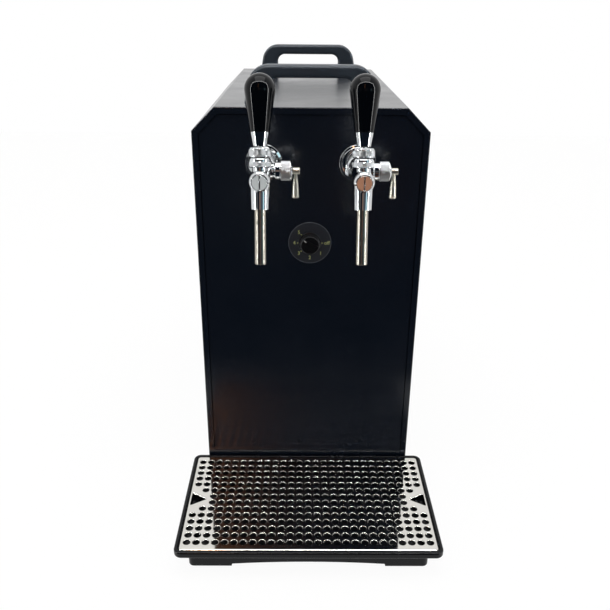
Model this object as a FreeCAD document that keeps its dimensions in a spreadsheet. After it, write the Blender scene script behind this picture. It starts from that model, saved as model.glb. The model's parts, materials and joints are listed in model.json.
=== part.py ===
import FreeCAD, Part
import math
import os
import Sketcher

# Over-counter beer cooler with two taps, a free-standing drip tray and its cooling set inside.
# Frame: millimetres, +X to the right seen from the front, +Y to the rear, +Z up.
# The origin is on the floor, below the middle of the whole object.

Vector = FreeCAD.Vector
Rotation = FreeCAD.Rotation
Placement = FreeCAD.Placement

doc = FreeCAD.newDocument("BeerCooler")
sheet = doc.addObject("Spreadsheet::Sheet", "Dims")

# Driving dimensions
drivingSizes = {
    # cabinet
    "frontFace": -174.0, "caseWidth": 325.0, "caseDepth": 550.0, "caseTop": 597.0,
    "topChamfer": 32.0, "sheetThick": 1.2, "borderWide": 9.5, "panelThick": 1.5,
    "foldRadius": 1.6, "mitreGap": 0.5,
    "footTall": 14.0, "footRadius": 16.0, "upstandTop": 47.0, "fitGap": 0.3,
    "ventLong": 68.0, "ventTall": 6.0, "ventPitch": 14.0,
    # carry handles
    "gripBase": 185.0, "gripTall": 50.0, "gripDeep": 28.0, "gripOpen": 118.0,
    "gripReach": 33.0, "gripShoulder": 30.0, "gripInset": 54.0,
    # dial and knob
    "dialLevel": 407.0, "dialRadius": 31.0, "knobRadius": 16.2, "knobTall": 13.0,
    # taps
    "tapSpread": 64.5, "tapLevel": 523.0, "tapReach": 94.0, "headTilt": 12.0,
    "shankRadius": 11.0, "shankBore": 4.0, "rosetteRadius": 25.0, "barrelRadius": 12.5,
    "flowReach": 49.0, "hubOut": 16.0, "spindleRadius": 4.36,
    "spoutRadius": 7.5, "spoutBore": 6.4, "spoutDrop": 107.5,
    "pivotRise": 34.0, "stemTop": 56.7, "handleTop": 127.0, "handleRadius": 19.3,
    # drip tray and grate
    "trayWide": 370.6, "trayDeep": 224.0, "trayTall": 40.0, "trayGap": 2.0,
    "rimWide": 5.5, "rimTall": 10.0, "rimRound": 2.4, "trayInset": 17.0, "trayCorner": 11.0,
    "trayFootLong": 60.0, "archLow": 5.0, "archRise": 3.7, "grateBend": 2.5,
    "holeRadius": 5.0, "holePitchAcross": 13.0, "holePitchDeep": 14.0, "firstHoleRow": 22.65,
    # cooling set
    "blockWide": 190.0, "blockDeep": 110.0, "blockTall": 222.0, "blockFloor": 318.0,
    "foamThick": 40.0, "foamGap": 5.0, "tubeRadius": 4.0, "tubeWall": 1.0, "coilPitch": 26.0,
    "coilReach": 72.0,
    "canRadius": 70.0, "canTall": 180.0, "finWide": 220.0, "finTall": 200.0, "finDeep": 44.0,
    "fanRadius": 84.0, "linePipe": 3.0,
}


class Length:
    """A size that keeps both its number and the sheet formula that it comes from."""

    def __init__(self, value, formula):
        self.value = value
        self.formula = formula

    def __add__(self, other):
        other = asLength(other)
        return Length(self.value + other.value, f"({self.formula} + {other.formula})")

    def __sub__(self, other):
        other = asLength(other)
        return Length(self.value - other.value, f"({self.formula} - {other.formula})")

    def __mul__(self, other):
        other = asLength(other)
        return Length(self.value * other.value, f"({self.formula} * {other.formula})")

    def __truediv__(self, other):
        other = asLength(other)
        return Length(self.value / other.value, f"({self.formula} / {other.formula})")

    def __radd__(self, other):
        return asLength(other) + self

    def __rsub__(self, other):
        return asLength(other) - self

    def __rmul__(self, other):
        return asLength(other) * self

    def __neg__(self):
        return Length(-self.value, f"(0 - {self.formula})")


def asLength(number):
    """A plain number as a Length, and a Length as it is."""
    if isinstance(number, Length):
        return number
    return Length(float(number), repr(round(float(number), 6)))


def num(size):
    """The number of a Length or of a plain number."""
    return asLength(size).value


for line, (alias, size) in enumerate(drivingSizes.items(), start=1):
    sheet.set(f"A{line}", alias)
    sheet.set(f"B{line}", str(size))
    sheet.setAlias(f"B{line}", alias)
doc.recompute()
d = type("Dims", (), {name: Length(float(getattr(sheet, name)), f"Dims.{name}") for name in drivingSizes})

subParts = {}


def keep(label, shapeObject):
    """Names a finished sub-part and lists it for export."""
    shapeObject.Label = label
    subParts[label] = shapeObject
    return shapeObject


def bind(item, prop, size):
    """Ties one property to the sheet."""
    item.setExpression(prop, asLength(size).formula)


def place(item, at, turn=None):
    """Puts an object at a point, turned by an axis and an angle in degrees."""
    turn = turn or ((0, 0, 1), 0)
    base = Vector(*(num(c) for c in at))
    item.Placement = Placement(base, Rotation(Vector(*turn[0]), turn[1]))
    for letter, coordinate in zip("xyz", at):
        bind(item, f"Placement.Base.{letter}", coordinate)
    return item


# Directions that a turned piece's own Z axis can take
outward = ((1, 0, 0), 90)        # towards the person at the taps
rearward = ((1, 0, 0), -90)
rightward = ((0, 1, 0), 90)
alongHead = ((1, 0, 0), -num(d.headTilt))


def block(name, size, at, turn=None):
    item = doc.addObject("Part::Box", name)
    for prop, side in zip(("Length", "Width", "Height"), size):
        bind(item, prop, side)
    return place(item, at, turn)


def cylinder(name, radius, height, at, turn=None):
    item = doc.addObject("Part::Cylinder", name)
    bind(item, "Radius", radius)
    bind(item, "Height", height)
    return place(item, at, turn)


def cone(name, lowRadius, highRadius, height, at, turn=None):
    item = doc.addObject("Part::Cone", name)
    bind(item, "Radius1", lowRadius)
    bind(item, "Radius2", highRadius)
    bind(item, "Height", height)
    return place(item, at, turn)


def fuse(name, *pieces):
    item = doc.addObject("Part::MultiFuse", name)
    item.Shapes = list(pieces)
    return item


def cut(name, base, tool):
    item = doc.addObject("Part::Cut", name)
    item.Base = base
    item.Tool = tool
    return item


def formed(name, shape):
    """A shape worked out from the sheet's sizes where no feature fits."""
    item = doc.addObject("Part::Feature", name)
    item.Shape = shape
    return item


def body(label, at=(0, 0, 0), turn=None):
    item = doc.addObject("PartDesign::Body", label)
    place(item, at, turn)
    return keep(label, item)


def arcCentre(start, end, radius):
    """Centre of an arc of under a half circle, which runs clockwise if its radius is negative."""
    chord = end - start
    half = chord.Length / 2
    rise = math.sqrt(max(radius * radius - half * half, 0))
    left = Vector(-chord.y, chord.x, 0) / chord.Length
    return (start + end) / 2 + left * (rise if radius > 0 else -rise)


def outline(sketch, corners):
    """Closed loop of straight runs. A corner with a third value starts an arc of that radius."""
    first = sketch.GeometryCount
    points = [Vector(num(c[0]), num(c[1]), 0) for c in corners]
    ends = []
    onAxis = set()
    for i, corner in enumerate(corners):
        start = points[i]
        end = points[(i + 1) % len(points)]
        if len(corner) == 2:
            sketch.addGeometry(Part.LineSegment(start, end), False)
            ends.append((1, 2))
            continue
        radius = num(corner[2])
        centre = arcCentre(start, end, radius)
        if abs(centre.x) < 0.001 and abs(start.x + end.x) > 0.001:
            centre.x = 0
            onAxis.add(i)
        circle = Part.Circle(centre, Vector(0, 0, 1), abs(radius))
        low, high = (start, end) if radius > 0 else (end, start)
        angles = [math.atan2(p.y - centre.y, p.x - centre.x) for p in (low, high)]
        sketch.addGeometry(Part.ArcOfCircle(circle, *angles), False)
        ends.append((1, 2) if radius > 0 else (2, 1))
    for i, corner in enumerate(corners):
        follower = (i + 1) % len(corners)
        sketch.addConstraint(Sketcher.Constraint(
            "Coincident", first + i, ends[i][1], first + follower, ends[follower][0]))
        for kind, coordinate in (("DistanceX", corner[0]), ("DistanceY", corner[1])):
            index = sketch.addConstraint(Sketcher.Constraint(
                kind, -1, 1, first + i, ends[i][0], num(coordinate)))
            bind(sketch, f"Constraints[{index}]", coordinate)
        if i in onAxis:
            sketch.addConstraint(Sketcher.Constraint("PointOnObject", first + i, 3, -2))
        elif len(corner) == 3:
            radius = corner[2] if num(corner[2]) > 0 else -asLength(corner[2])
            index = sketch.addConstraint(Sketcher.Constraint("Radius", first + i, num(radius)))
            bind(sketch, f"Constraints[{index}]", radius)


def ring(sketch, across, up, radius):
    """Circle at a point of the sketch."""
    circle = Part.Circle(Vector(num(across), num(up), 0), Vector(0, 0, 1), num(radius))
    item = sketch.addGeometry(circle, False)
    for kind, size in (("DistanceX", across), ("DistanceY", up)):
        index = sketch.addConstraint(Sketcher.Constraint(kind, -1, 1, item, 3, num(size)))
        bind(sketch, f"Constraints[{index}]", size)
    index = sketch.addConstraint(Sketcher.Constraint("Radius", item, num(radius)))
    bind(sketch, f"Constraints[{index}]", radius)


def rectangle(low, high):
    return [(low[0], low[1]), (high[0], low[1]), (high[0], high[1]), (low[0], high[1])]


def roundedRectangle(low, high, radius):
    """Anticlockwise rectangle whose corners are arcs."""
    x0, y0 = low
    x1, y1 = high
    r = radius
    return [(x0 + r, y0), (x1 - r, y0, r), (x1, y0 + r), (x1, y1 - r, r),
            (x1 - r, y1), (x0 + r, y1, r), (x0, y1 - r), (x0, y0 + r, r)]


def drawing(owner, plane, offset=0):
    """Sketch on one of the body's own origin planes, moved along the plane's normal."""
    sketch = owner.newObject("Sketcher::SketchObject", "Sketch")
    face = [f for f in owner.Origin.OriginFeatures if f.Role == plane][0]
    sketch.AttachmentSupport = [(face, "")]
    sketch.MapMode = "FlatFace"
    sketch.AttachmentOffset = Placement(Vector(0, 0, num(offset)), Rotation())
    bind(sketch, "AttachmentOffset.Base.z", offset)
    return sketch


def pad(owner, sketch, length, reverse=False):
    item = owner.newObject("PartDesign::Pad", "Pad")
    item.Profile = sketch
    bind(item, "Length", length)
    item.Reversed = reverse
    owner.Tip = item
    return item


def pocket(owner, sketch, length, reverse=False):
    """Cuts into the solid and stops the build if nothing was removed."""
    doc.recompute()
    before = owner.Shape.Volume
    item = owner.newObject("PartDesign::Pocket", "Pocket")
    item.Profile = sketch
    bind(item, "Length", length)
    item.Reversed = reverse
    owner.Tip = item
    doc.recompute()
    if not owner.Shape.Volume < before - 0.01:
        raise RuntimeError(f"a pocket of {owner.Label} removes nothing")
    return item


def rows(owner, sketch, cutting, count):
    """Repeats a row of air slots upwards."""
    pattern = owner.newObject("PartDesign::LinearPattern", "SlotRows")
    pattern.Originals = [cutting]
    pattern.Direction = (sketch, ["V_Axis"])
    bind(pattern, "Length", (count - 1) * d.ventPitch)
    pattern.Occurrences = count
    owner.Tip = pattern
    return pattern


def revolve(owner, corners):
    """Turned solid about the body's own Z axis, from a half outline of (radius, height) corners."""
    sketch = drawing(owner, "XZ_Plane")
    outline(sketch, corners)
    item = owner.newObject("PartDesign::Revolution", "Revolution")
    item.Profile = sketch
    item.ReferenceAxis = (sketch, ["V_Axis"])
    item.Angle = 360
    owner.Tip = item
    return item


def flutes(owner, count, at, radius, low, length):
    """Evenly spaced grooves along a turned piece, with their centres on a circle."""
    doc.recompute()
    before = owner.Shape.Volume
    sketch = drawing(owner, "XY_Plane", low)
    ring(sketch, at, 0, radius)
    groove = owner.newObject("PartDesign::Pocket", "Flute")
    groove.Profile = sketch
    bind(groove, "Length", length)
    groove.Reversed = True
    owner.Tip = groove
    doc.recompute()
    pattern = owner.newObject("PartDesign::PolarPattern", "Flutes")
    pattern.Originals = [groove]
    pattern.Axis = (sketch, ["N_Axis"])
    pattern.Angle = 360
    pattern.Occurrences = count
    owner.Tip = pattern
    doc.recompute()
    if not owner.Shape.Volume < before - 0.01:
        raise RuntimeError(f"the flutes of {owner.Label} remove nothing")
    return pattern


def roundOff(owner, radius, wanted):
    """Rounds those edges of a body that a test picks by their boxes, in the body's own frame."""
    doc.recompute()
    sharp = owner.Tip
    names = [f"Edge{index}" for index, edge in enumerate(sharp.Shape.Edges, start=1) if wanted(edge.BoundBox)]
    if not names:
        raise RuntimeError(f"no edge of {owner.Label} is picked for rounding")
    fillet = owner.newObject("PartDesign::Fillet", "Fillet")
    fillet.Base = (sharp, names)
    bind(fillet, "Radius", radius)
    owner.Tip = fillet


def bowRadius(chord, rise):
    """Radius of the arc that rises by a height over a chord."""
    return (chord * chord / 4 + rise * rise) / (2 * rise)


def pipePath(points, bend):
    """Straight runs joined by tangent arcs, each as large as its runs allow up to the bend radius."""
    edges = []
    start = points[0]
    for before, corner, after in zip(points, points[1:], points[2:]):
        back = (before - corner).normalize()
        ahead = (after - corner).normalize()
        turn = math.pi - back.getAngle(ahead)
        shorter = min((before - corner).Length, (after - corner).Length)
        trim = min(bend * math.tan(turn / 2), 0.499 * shorter)
        arcRadius = trim / math.tan(turn / 2)
        enter = corner + back * trim
        leave = corner + ahead * trim
        towards = (back + ahead).normalize()
        middle = corner + towards * (arcRadius / math.cos(turn / 2) - arcRadius)
        edges.append(Part.LineSegment(start, enter).toShape())
        edges.append(Part.Arc(enter, middle, leave).toShape())
        start = leave
    edges.append(Part.LineSegment(start, points[-1]).toShape())
    return Part.Wire(edges)


def rod(points, radius, bend):
    """Round rod along a path of straight runs and arcs."""
    path = pipePath([Vector(*p) for p in points], bend)
    start = path.Edges[0]
    tangent = start.tangentAt(start.FirstParameter)
    circle = Part.Wire([Part.Circle(Vector(*points[0]), tangent, radius).toShape()])
    return path.makePipeShell([circle], True, False)


def pipe(points, radius, bend):
    """Tube along a path, open at both ends."""
    wall = num(d.tubeWall)
    return rod(points, radius, bend).cut(rod(points, radius - wall, bend)).Solids[0]


# Places that several pieces share
halfWide = d.caseWidth / 2
backFace = d.frontFace + d.caseDepth
panelFace = d.frontFace + d.sheetThick
panelBack = panelFace + d.panelThick
innerWide = halfWide - d.sheetThick
caseFloor = d.footTall + d.sheetThick
flangeWide = halfWide - d.borderWide
trayBack = d.frontFace - d.trayGap
trayFront = trayBack - d.trayDeep
sides = (("left", -1), ("right", 1))


def archStrip(outerHalf, outerTop, outerChamfer, innerHalf, innerTop, innerChamfer, floor):
    """Upside-down U with cut-off top corners, seen from the front."""
    outer = [(outerHalf - outerChamfer, outerTop), (outerHalf, outerTop - outerChamfer), (outerHalf, floor)]
    inner = [(innerHalf, floor), (innerHalf, innerTop - innerChamfer), (innerHalf - innerChamfer, innerTop)]
    return [(-x, z) for x, z in reversed(outer)] + outer + inner + [(-x, z) for x, z in reversed(inner)]


def chamferInside(depth):
    """The top chamfer's width on an outline drawn in from the casing's outside by a depth."""
    return d.topChamfer - depth * (2 - math.sqrt(2))


# Outer casing: one wrap with a folded border at the front and at the rear
def makeOuterCasing():
    item = body("outer_casing")
    wall = drawing(item, "XZ_Plane", -d.frontFace)
    innerTop = d.caseTop - d.sheetThick
    outline(wall, archStrip(halfWide, d.caseTop, d.topChamfer,
                            innerWide, innerTop, chamferInside(d.sheetThick), caseFloor))
    pad(item, wall, d.caseDepth, reverse=True)
    flangeTop = d.caseTop - d.borderWide
    for offset, reverse in ((-d.frontFace, True), (-backFace, False)):
        flange = drawing(item, "XZ_Plane", offset)
        outline(flange, archStrip(innerWide + 0.5 * d.sheetThick, innerTop + 0.5 * d.sheetThick,
                                  chamferInside(0.5 * d.sheetThick),
                                  flangeWide, flangeTop, chamferInside(d.borderWide), caseFloor))
        pad(item, flange, d.sheetThick, reverse)
    roundOff(item, d.foldRadius, onFold)
    for offset, reverse in ((-d.frontFace, False), (-backFace, True)):
        mitres = drawing(item, "XZ_Plane", offset)
        for corners in mitreSlits():
            outline(mitres, corners)
        pocket(item, mitres, d.sheetThick, reverse)
    vents = drawing(item, "YZ_Plane", -halfWide - 1)
    ventFloor = 88.0
    for start in (120.0, 205.0):
        outline(vents, rectangle((start, ventFloor), (start + d.ventLong, ventFloor + d.ventTall)))
    rows(item, vents, pocket(item, vents, d.caseWidth + 2, reverse=True), 9)
    screws = drawing(item, "XY_Plane", d.caseTop + 1)
    for x, y in handleScrewPlaces():
        ring(screws, x, y, 2.4)
    pocket(item, screws, 3)
    rearHoles = drawing(item, "XZ_Plane", -backFace - 1)
    for x, z in rearScrewPlaces():
        ring(rearHoles, x, z, 2.1)
    pocket(item, rearHoles, 3, reverse=True)


def onFold(box):
    """Whether an edge lies on one of the casing's outer folds."""
    half = num(halfWide)
    top = num(d.caseTop)
    reach = max(abs(box.XMin), abs(box.XMax))
    outermost = reach > half - 0.01 or box.ZMax > top - 0.01
    above = box.ZMax > num(caseFloor) + 1
    atEnd = any(abs(box.YMin - num(end)) < 0.01 for end in (d.frontFace, backFace))
    acrossEnd = box.YLength < 0.01 and atEnd
    lengthwise = box.YLength > num(d.caseDepth) - 1
    return outermost and above and (acrossEnd or lengthwise)


def mitreSlits():
    """Thin gaps where the folded border's strips meet, from near the fold to the border's inner edge."""
    slope = math.tan(math.pi / 8)
    across = d.mitreGap / 2 / math.hypot(1, slope)
    start = d.foldRadius + 0.6
    end = d.borderWide + 1
    for side in (-1, 1):
        low = (halfWide, d.caseTop - d.topChamfer)
        yield [(side * (low[0] - t + k * slope * across), low[1] - t * slope - k * across)
               for t, k in ((start, -1), (end, -1), (end, 1), (start, 1))]
        high = (halfWide - d.topChamfer, d.caseTop)
        yield [(side * (high[0] - t * slope - k * across), high[1] - t + k * slope * across)
               for t, k in ((start, -1), (end, -1), (end, 1), (start, 1))]


def gripCentres():
    return (("front_carry_handle", d.frontFace + d.gripInset), ("rear_carry_handle", backFace - d.gripInset))


def handleScrewPlaces():
    across = (d.gripBase + d.gripOpen) / 4
    return [(side * across, y) for _, y in gripCentres() for side in (-1, 1)]


def rearScrewPlaces():
    across = halfWide - d.borderWide / 2
    return [(side * across, z) for z in (70.0, 300.0, 530.0) for side in (-1, 1)]


# Base pan: floor sheet with an upstand on each side
def makeBasePan():
    item = body("base_pan")
    floor = drawing(item, "XY_Plane", d.footTall)
    outline(floor, rectangle((-halfWide, d.frontFace), (halfWide, backFace)))
    pad(item, floor, d.sheetThick)
    walls = drawing(item, "XY_Plane", d.footTall)
    frontHalf = flangeWide - d.fitGap
    sideIn = innerWide - d.fitGap
    outline(walls, rectangle((-frontHalf, d.frontFace), (frontHalf, panelFace)))
    outline(walls, rectangle((-frontHalf, backFace - d.sheetThick), (frontHalf, backFace)))
    for low, high in ((-sideIn, -(sideIn - d.sheetThick)), (sideIn - d.sheetThick, sideIn)):
        outline(walls, rectangle((low, panelBack + 1), (high, backFace - 5)))
    pad(item, walls, d.upstandTop - d.footTall)
    return item


def panelOutline(gap):
    """The flat sheet that stands behind a folded border, clear of the wrap by a gap."""
    half = innerWide - gap
    top = d.caseTop - d.sheetThick - gap
    chamfer = chamferInside(d.sheetThick + gap)
    return [(-half, caseFloor), (half, caseFloor), (half, top - chamfer), (half - chamfer, top),
            (-(half - chamfer), top), (-half, top - chamfer)]


def makeFrontPanel():
    item = body("front_panel")
    sheetFace = drawing(item, "XZ_Plane", -panelFace)
    outline(sheetFace, panelOutline(d.fitGap))
    for side in (-1, 1):
        ring(sheetFace, side * d.tapSpread, d.tapLevel, d.shankRadius + d.fitGap)
    ring(sheetFace, 0, d.dialLevel, 5)
    pad(item, sheetFace, d.panelThick, reverse=True)


# Rear panel: sheet behind the rear border, with an air grille and holes for the inlets
inletLevel = d.blockFloor + 23
powerAt = (-105, 270)
powerHalf = (14, 10.5)


def makeRearPanel():
    item = body("rear_panel")
    sheetFace = drawing(item, "XZ_Plane", -(backFace - d.sheetThick - d.panelThick))
    outline(sheetFace, panelOutline(d.fitGap))
    pad(item, sheetFace, d.panelThick, reverse=True)
    holes = drawing(item, "XZ_Plane", -backFace)
    for side in (-1, 1):
        ring(holes, side * d.tapSpread, inletLevel, 8.4)
    outline(holes, rectangle((powerAt[0] - powerHalf[0], powerAt[1] - powerHalf[1]),
                             (powerAt[0] + powerHalf[0], powerAt[1] + powerHalf[1])))
    for x, z in rearScrewPlaces():
        ring(holes, x, z, 1.9)
    pocket(item, holes, 5, reverse=True)
    grille = drawing(item, "XZ_Plane", -backFace)
    grilleFloor = 62.0
    for start in (-111, -34, 43):
        outline(grille, rectangle((start, grilleFloor), (start + d.ventLong, grilleFloor + d.ventTall)))
    rows(item, grille, pocket(item, grille, 5, reverse=True), 12)


# Feet: four rubber pads under the base pan
def makeFeet():
    item = body("cabinet_feet")
    pads = drawing(item, "XY_Plane")
    for x in (-halfWide + 32, halfWide - 32):
        for y in (d.frontFace + 34, backFace - 34):
            ring(pads, x, y, d.footRadius)
    pad(item, pads, d.footTall)


# Carry handles: a bow with two legs, flush on the casing's top
def makeCarryHandle(label, centre):
    item = body(label, (0, centre, d.caseTop))
    face = drawing(item, "XZ_Plane", -d.gripDeep / 2)
    lean = math.radians(9.5)
    half = d.gripBase / 2
    shoulder = d.gripShoulder
    trim = shoulder * math.tan((math.pi / 2 - lean) / 2)
    edge = half - d.gripTall * math.tan(lean)
    legX = edge + trim * math.sin(lean)
    legZ = d.gripTall - trim * math.cos(lean)
    inner = d.gripOpen / 2
    small = 14
    reach = d.gripReach
    outline(face, [
        (-inner, 0), (-half, 0), (-legX, legZ, -shoulder), (-(edge - trim), d.gripTall),
        (edge - trim, d.gripTall, -shoulder), (legX, legZ), (half, 0), (inner, 0),
        (inner, reach - small, small), (inner - small, reach), (-(inner - small), reach, small),
        (-inner, reach - small)])
    pad(item, face, d.gripDeep)
    pilot = drawing(item, "XY_Plane", -1)
    for side in (-1, 1):
        ring(pilot, side * (d.gripBase + d.gripOpen) / 4, 0, 1.9)
    pocket(item, pilot, 15, reverse=True)
    half = num(d.gripDeep) / 2
    roundOff(item, 5, lambda box: box.YLength < 0.01 and abs(abs(box.YMin) - half) < 0.01 and box.ZMax > 0.01)


# Screws: pan heads under the casing's top for the handles, and on the rear border
def makeScrews():
    pieces = []
    for x, y in handleScrewPlaces():
        headTop = d.caseTop - d.sheetThick
        pieces.append(fuse("HandleScrew",
                           cylinder("Head", 4, 2.4, (x, y, headTop - 2.4)),
                           cylinder("Thread", 1.8, 14, (x, y, headTop - 1))))
    for x, z in rearScrewPlaces():
        pieces.append(fuse("RearScrew",
                           cylinder("Head", 3.6, 2, (x, backFace + 2, z), outward),
                           cylinder("Thread", 1.8, 7, (x, backFace + 1, z), outward)))
    group = doc.addObject("Part::Compound", "ScrewGroup")
    group.Links = pieces
    keep("cabinet_screws", group)


# Thermostat: dial plate and knob outside, body, shaft and bulb inside
def makeThermostat():
    plate = body("dial_plate", (0, panelFace, d.dialLevel), outward)
    revolve(plate, [(4.5, 0), (d.dialRadius, 0), (d.dialRadius, 0.8), (d.dialRadius - 0.4, 1.2), (4.5, 1.2)])
    knobBase = 1.6
    knob = body("thermostat_knob", (0, panelFace - knobBase, d.dialLevel), outward)
    front = d.knobTall
    outer = d.knobRadius
    drum = front - 2
    revolve(knob, [(0, front - 3), (3.05, front - 3), (3.05, 0), (outer - 0.6, 0), (outer, 0.6), (outer, 2.6),
                   (outer - 1.7, 3.4), (outer - 3, drum - 0.8), (outer - 3.8, drum), (0, drum)])
    # raised wedge grip that narrows to the pointer's end
    grip = drawing(knob, "XY_Plane", front - 2.5)
    pointAt = math.radians(137)
    along = (math.cos(pointAt), math.sin(pointAt))
    wedge = [(11.8, -1.3), (11.8, 1.3), (-9.6, 7.2), (-9.6, -7.2)]
    outline(grip, [(a * along[0] - b * along[1], a * along[1] + b * along[0]) for a, b in wedge])
    pad(knob, grip, 2.5)
    shaft = body("thermostat_shaft", (0, panelBack + 8, d.dialLevel), outward)
    length = 8 + d.panelThick + knobBase + front - 3.5
    revolve(shaft, [(0, 0), (3, 0), (3, length), (0, length)])
    case = block("ThermostatCase", (44, 30, 38), (-22, panelBack, d.dialLevel - 19))
    bore = cylinder("ShaftBore", 3.06, 10, (0, panelBack + 9, d.dialLevel), outward)
    keep("thermostat_body", cut("ThermostatBody", case, bore))
    x, bulbX = 17.0, 27.0
    start = num(panelBack) + 30
    level = num(d.dialLevel) - 10
    bulbLevel = num(d.dialLevel) - 30
    bulbEnd = num(blockFront) + 5
    points = [(x, start, level), (x, start + 25, level),
              (bulbX, start + 45, bulbLevel), (bulbX, bulbEnd + 1, bulbLevel)]
    capillary = formed("Capillary", rod(points, 1.2, 6))
    bulb = cylinder("Bulb", 3.5, 28, (bulbX, bulbEnd + 28, bulbLevel), outward)
    keep("thermostat_bulb", fuse("ThermostatBulb", capillary, bulb))


# Taps
def tapPoint(side, out, rise=0):
    """A point by its distance in front of the panel's border and above the tap's level."""
    return (side * d.tapSpread, d.frontFace - out, d.tapLevel + rise)


headRoot = 16.7


def makeTap(name, side):
    atFace = (side * d.tapSpread, panelFace, d.tapLevel)
    crossing = tapPoint(side, d.tapReach)
    headAlong = (math.sin(math.radians(num(d.headTilt))), math.cos(math.radians(num(d.headTilt))))

    def onHead(rise):
        return (crossing[0], crossing[1] + rise * headAlong[0], crossing[2] + rise * headAlong[1])

    shankTail = 60
    shank = body(f"tap_shank_{name}", (atFace[0], d.frontFace + shankTail, d.tapLevel), outward)
    r = d.shankRadius
    end = shankTail + 21
    revolve(shank, [(d.shankBore, 0), (r - 3, 0), (r - 3, 12), (r, 12), (r, end - 1), (r - 1, end),
                    (d.shankBore, end)])

    rosette = body(f"tap_rosette_{name}", atFace, outward)
    big = d.rosetteRadius
    clear = d.shankRadius + 0.1
    revolve(rosette, [(clear, 0), (big, 0), (big, 1.6), (big - 0.3, 1.9), (big - 3, 3.0), (big - 3.5, 3.6),
                      (14.6, 3.6), (14, 4.2), (14, 5.6), (clear, 5.6)])

    coupling = body(f"coupling_ring_{name}", tapPoint(side, 6), outward)
    wide = 15.6
    revolve(coupling, [(clear, 0), (wide - 1, 0), (wide, 1), (wide, 16), (wide - 1.4, 17.6), (13.7, 18.2),
                       (12.9, 18.2), (12.9, 15.4), (clear, 15.4)])
    flutes(coupling, 30, wide + 0.35, 0.95, 2.4, 12)

    # head and barrel of the tap body, with the water ways bored through
    reach = d.tapReach
    barrelStart = 21.6
    barrel = cylinder("Barrel", d.barrelRadius, reach + 11 - barrelStart, tapPoint(side, barrelStart), outward)
    hub = cylinder("FlowHub", 10, d.hubOut, tapPoint(side, d.flowReach), rightward)
    socket = cone("Socket", 11.6, 12.1, 21.5, onHead(-37.8), alongHead)
    chamber = cylinder("Chamber", 12.1, headRoot, onHead(-headRoot), alongHead)
    neck = cylinder("Neck", 9.4, 14, onHead(0), alongHead)
    lowerNut = fuse("LowerNut",
                    cone("NutUnder", 10.6, 13.5, 1.4, onHead(13.2), alongHead),
                    cylinder("NutWall", 13.5, 9, onHead(14.6), alongHead),
                    cone("NutOver", 13.5, 12.6, 1.4, onHead(23.6), alongHead))
    solid = fuse("TapSolid", barrel, hub, socket, chamber, neck, lowerNut)
    ringWide = 12.75
    ways = fuse("TapWays",
                cylinder("ShankSeat", 4.5, reach - barrelStart + 1, tapPoint(side, barrelStart - 1), outward),
                cylinder("PlungerBore", 6, 30, onHead(-4), alongHead),
                cylinder("SpoutBore", d.spoutRadius + 0.06, 24, onHead(-42), alongHead),
                cylinder("SpoutWay", 5, 20, onHead(-20), alongHead),
                cylinder("CapThread", 9, 8, tapPoint(side, reach + 6), outward),
                cylinder("CapSeat", ringWide + 0.15, 12, tapPoint(side, reach + 11), outward),
                cylinder("SpindleBore", d.spindleRadius + 0.06, 18,
                         (side * d.tapSpread + 9, d.frontFace - d.flowReach, d.tapLevel), rightward))
    keep(f"tap_body_{name}", cut(f"TapBody_{name}", solid, ways))

    cap = body(f"front_cap_{name}", tapPoint(side, reach + 11), outward)
    revolve(cap, [(0, -4), (8.9, -4), (8.9, 0), (ringWide, 0), (ringWide, 6.8), (ringWide - 2.1, 9), (10.3, 9),
                  (10.1, 8.2), (9.7, 8.2), (9.7, 11), (0, 11)])
    slot = drawing(cap, "XY_Plane", 12)
    outline(slot, rectangle((-1.2, -10), (1.2, 10)))
    pocket(cap, slot, 3.2)

    plunger = body(f"valve_plunger_{name}", onHead(-2), alongHead)
    revolve(plunger, [(0, 0), (4, 0), (5.95, 2.5), (5.95, 8), (5.2, 8.8), (5.2, 12), (5.95, 12.8), (5.95, 19),
                      (0, 19)])

    # the upper nut's mouth is a bowl that the stem tilts in
    nutLow = 26.2
    nut = body(f"upper_nut_{name}", onHead(nutLow), alongHead)
    tall = 11.8
    wide = 14
    revolve(nut, [(6.9, 0), (wide - 1.2, 0), (wide, 1.2), (wide, 9.7), (12.9, tall), (12.2, tall),
                  (10.5, 9.6), (6.6, 9.6), (7.4, 8), (7.4, 3), (6.9, 2)])
    flutes(nut, 32, wide + 0.45, 0.95, 2, 6.6)
    pinRadius = 1.6
    pinHalf = 9
    pinHole = drawing(nut, "YZ_Plane", -pinHalf - 0.1)
    ring(pinHole, 0, d.pivotRise - nutLow, pinRadius + 0.06)
    pocket(nut, pinHole, 2 * pinHalf + 0.2, reverse=True)

    lever = body(f"lever_stem_{name}", onHead(d.pivotRise), alongHead)
    topRise = d.stemTop - d.pivotRise
    revolve(lever, [(0, -9), (2.4, -9), (2.4, -5.5), (5.4, -3.4, 6.38), (5.4, 3.4), (4, 4.6), (4, 5.3),
                    (7.2, 5.3), (8.8, 6.3), (12, topRise), (4.5, topRise), (4.5, topRise + 14), (0, topRise + 14)])
    # cross pin that the lever tilts on, in the upper nut's wall
    pin = drawing(lever, "YZ_Plane", -pinHalf)
    ring(pin, 0, 0, pinRadius)
    pad(lever, pin, 2 * pinHalf)

    # handle: a cone that runs tangent into a ball top
    handle = body(f"lever_handle_{name}", onHead(d.stemTop), alongHead)
    crown = d.handleRadius
    tallest = d.handleTop - d.stemTop
    centre = tallest - crown
    foot = 12.2
    reachToCentre = math.hypot(num(centre) - 1.0, foot)
    swing = math.atan2(foot, num(centre) - 1.0) - math.asin(num(crown) / reachToCentre)
    touchR = crown * math.cos(swing)
    touchZ = centre + crown * math.sin(swing)
    revolve(handle, [(4.6, 0), (foot - 0.8, 0), (foot, 1.0), (touchR, touchZ, crown), (0, tallest), (0, 15),
                     (4.6, 15)])

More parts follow.
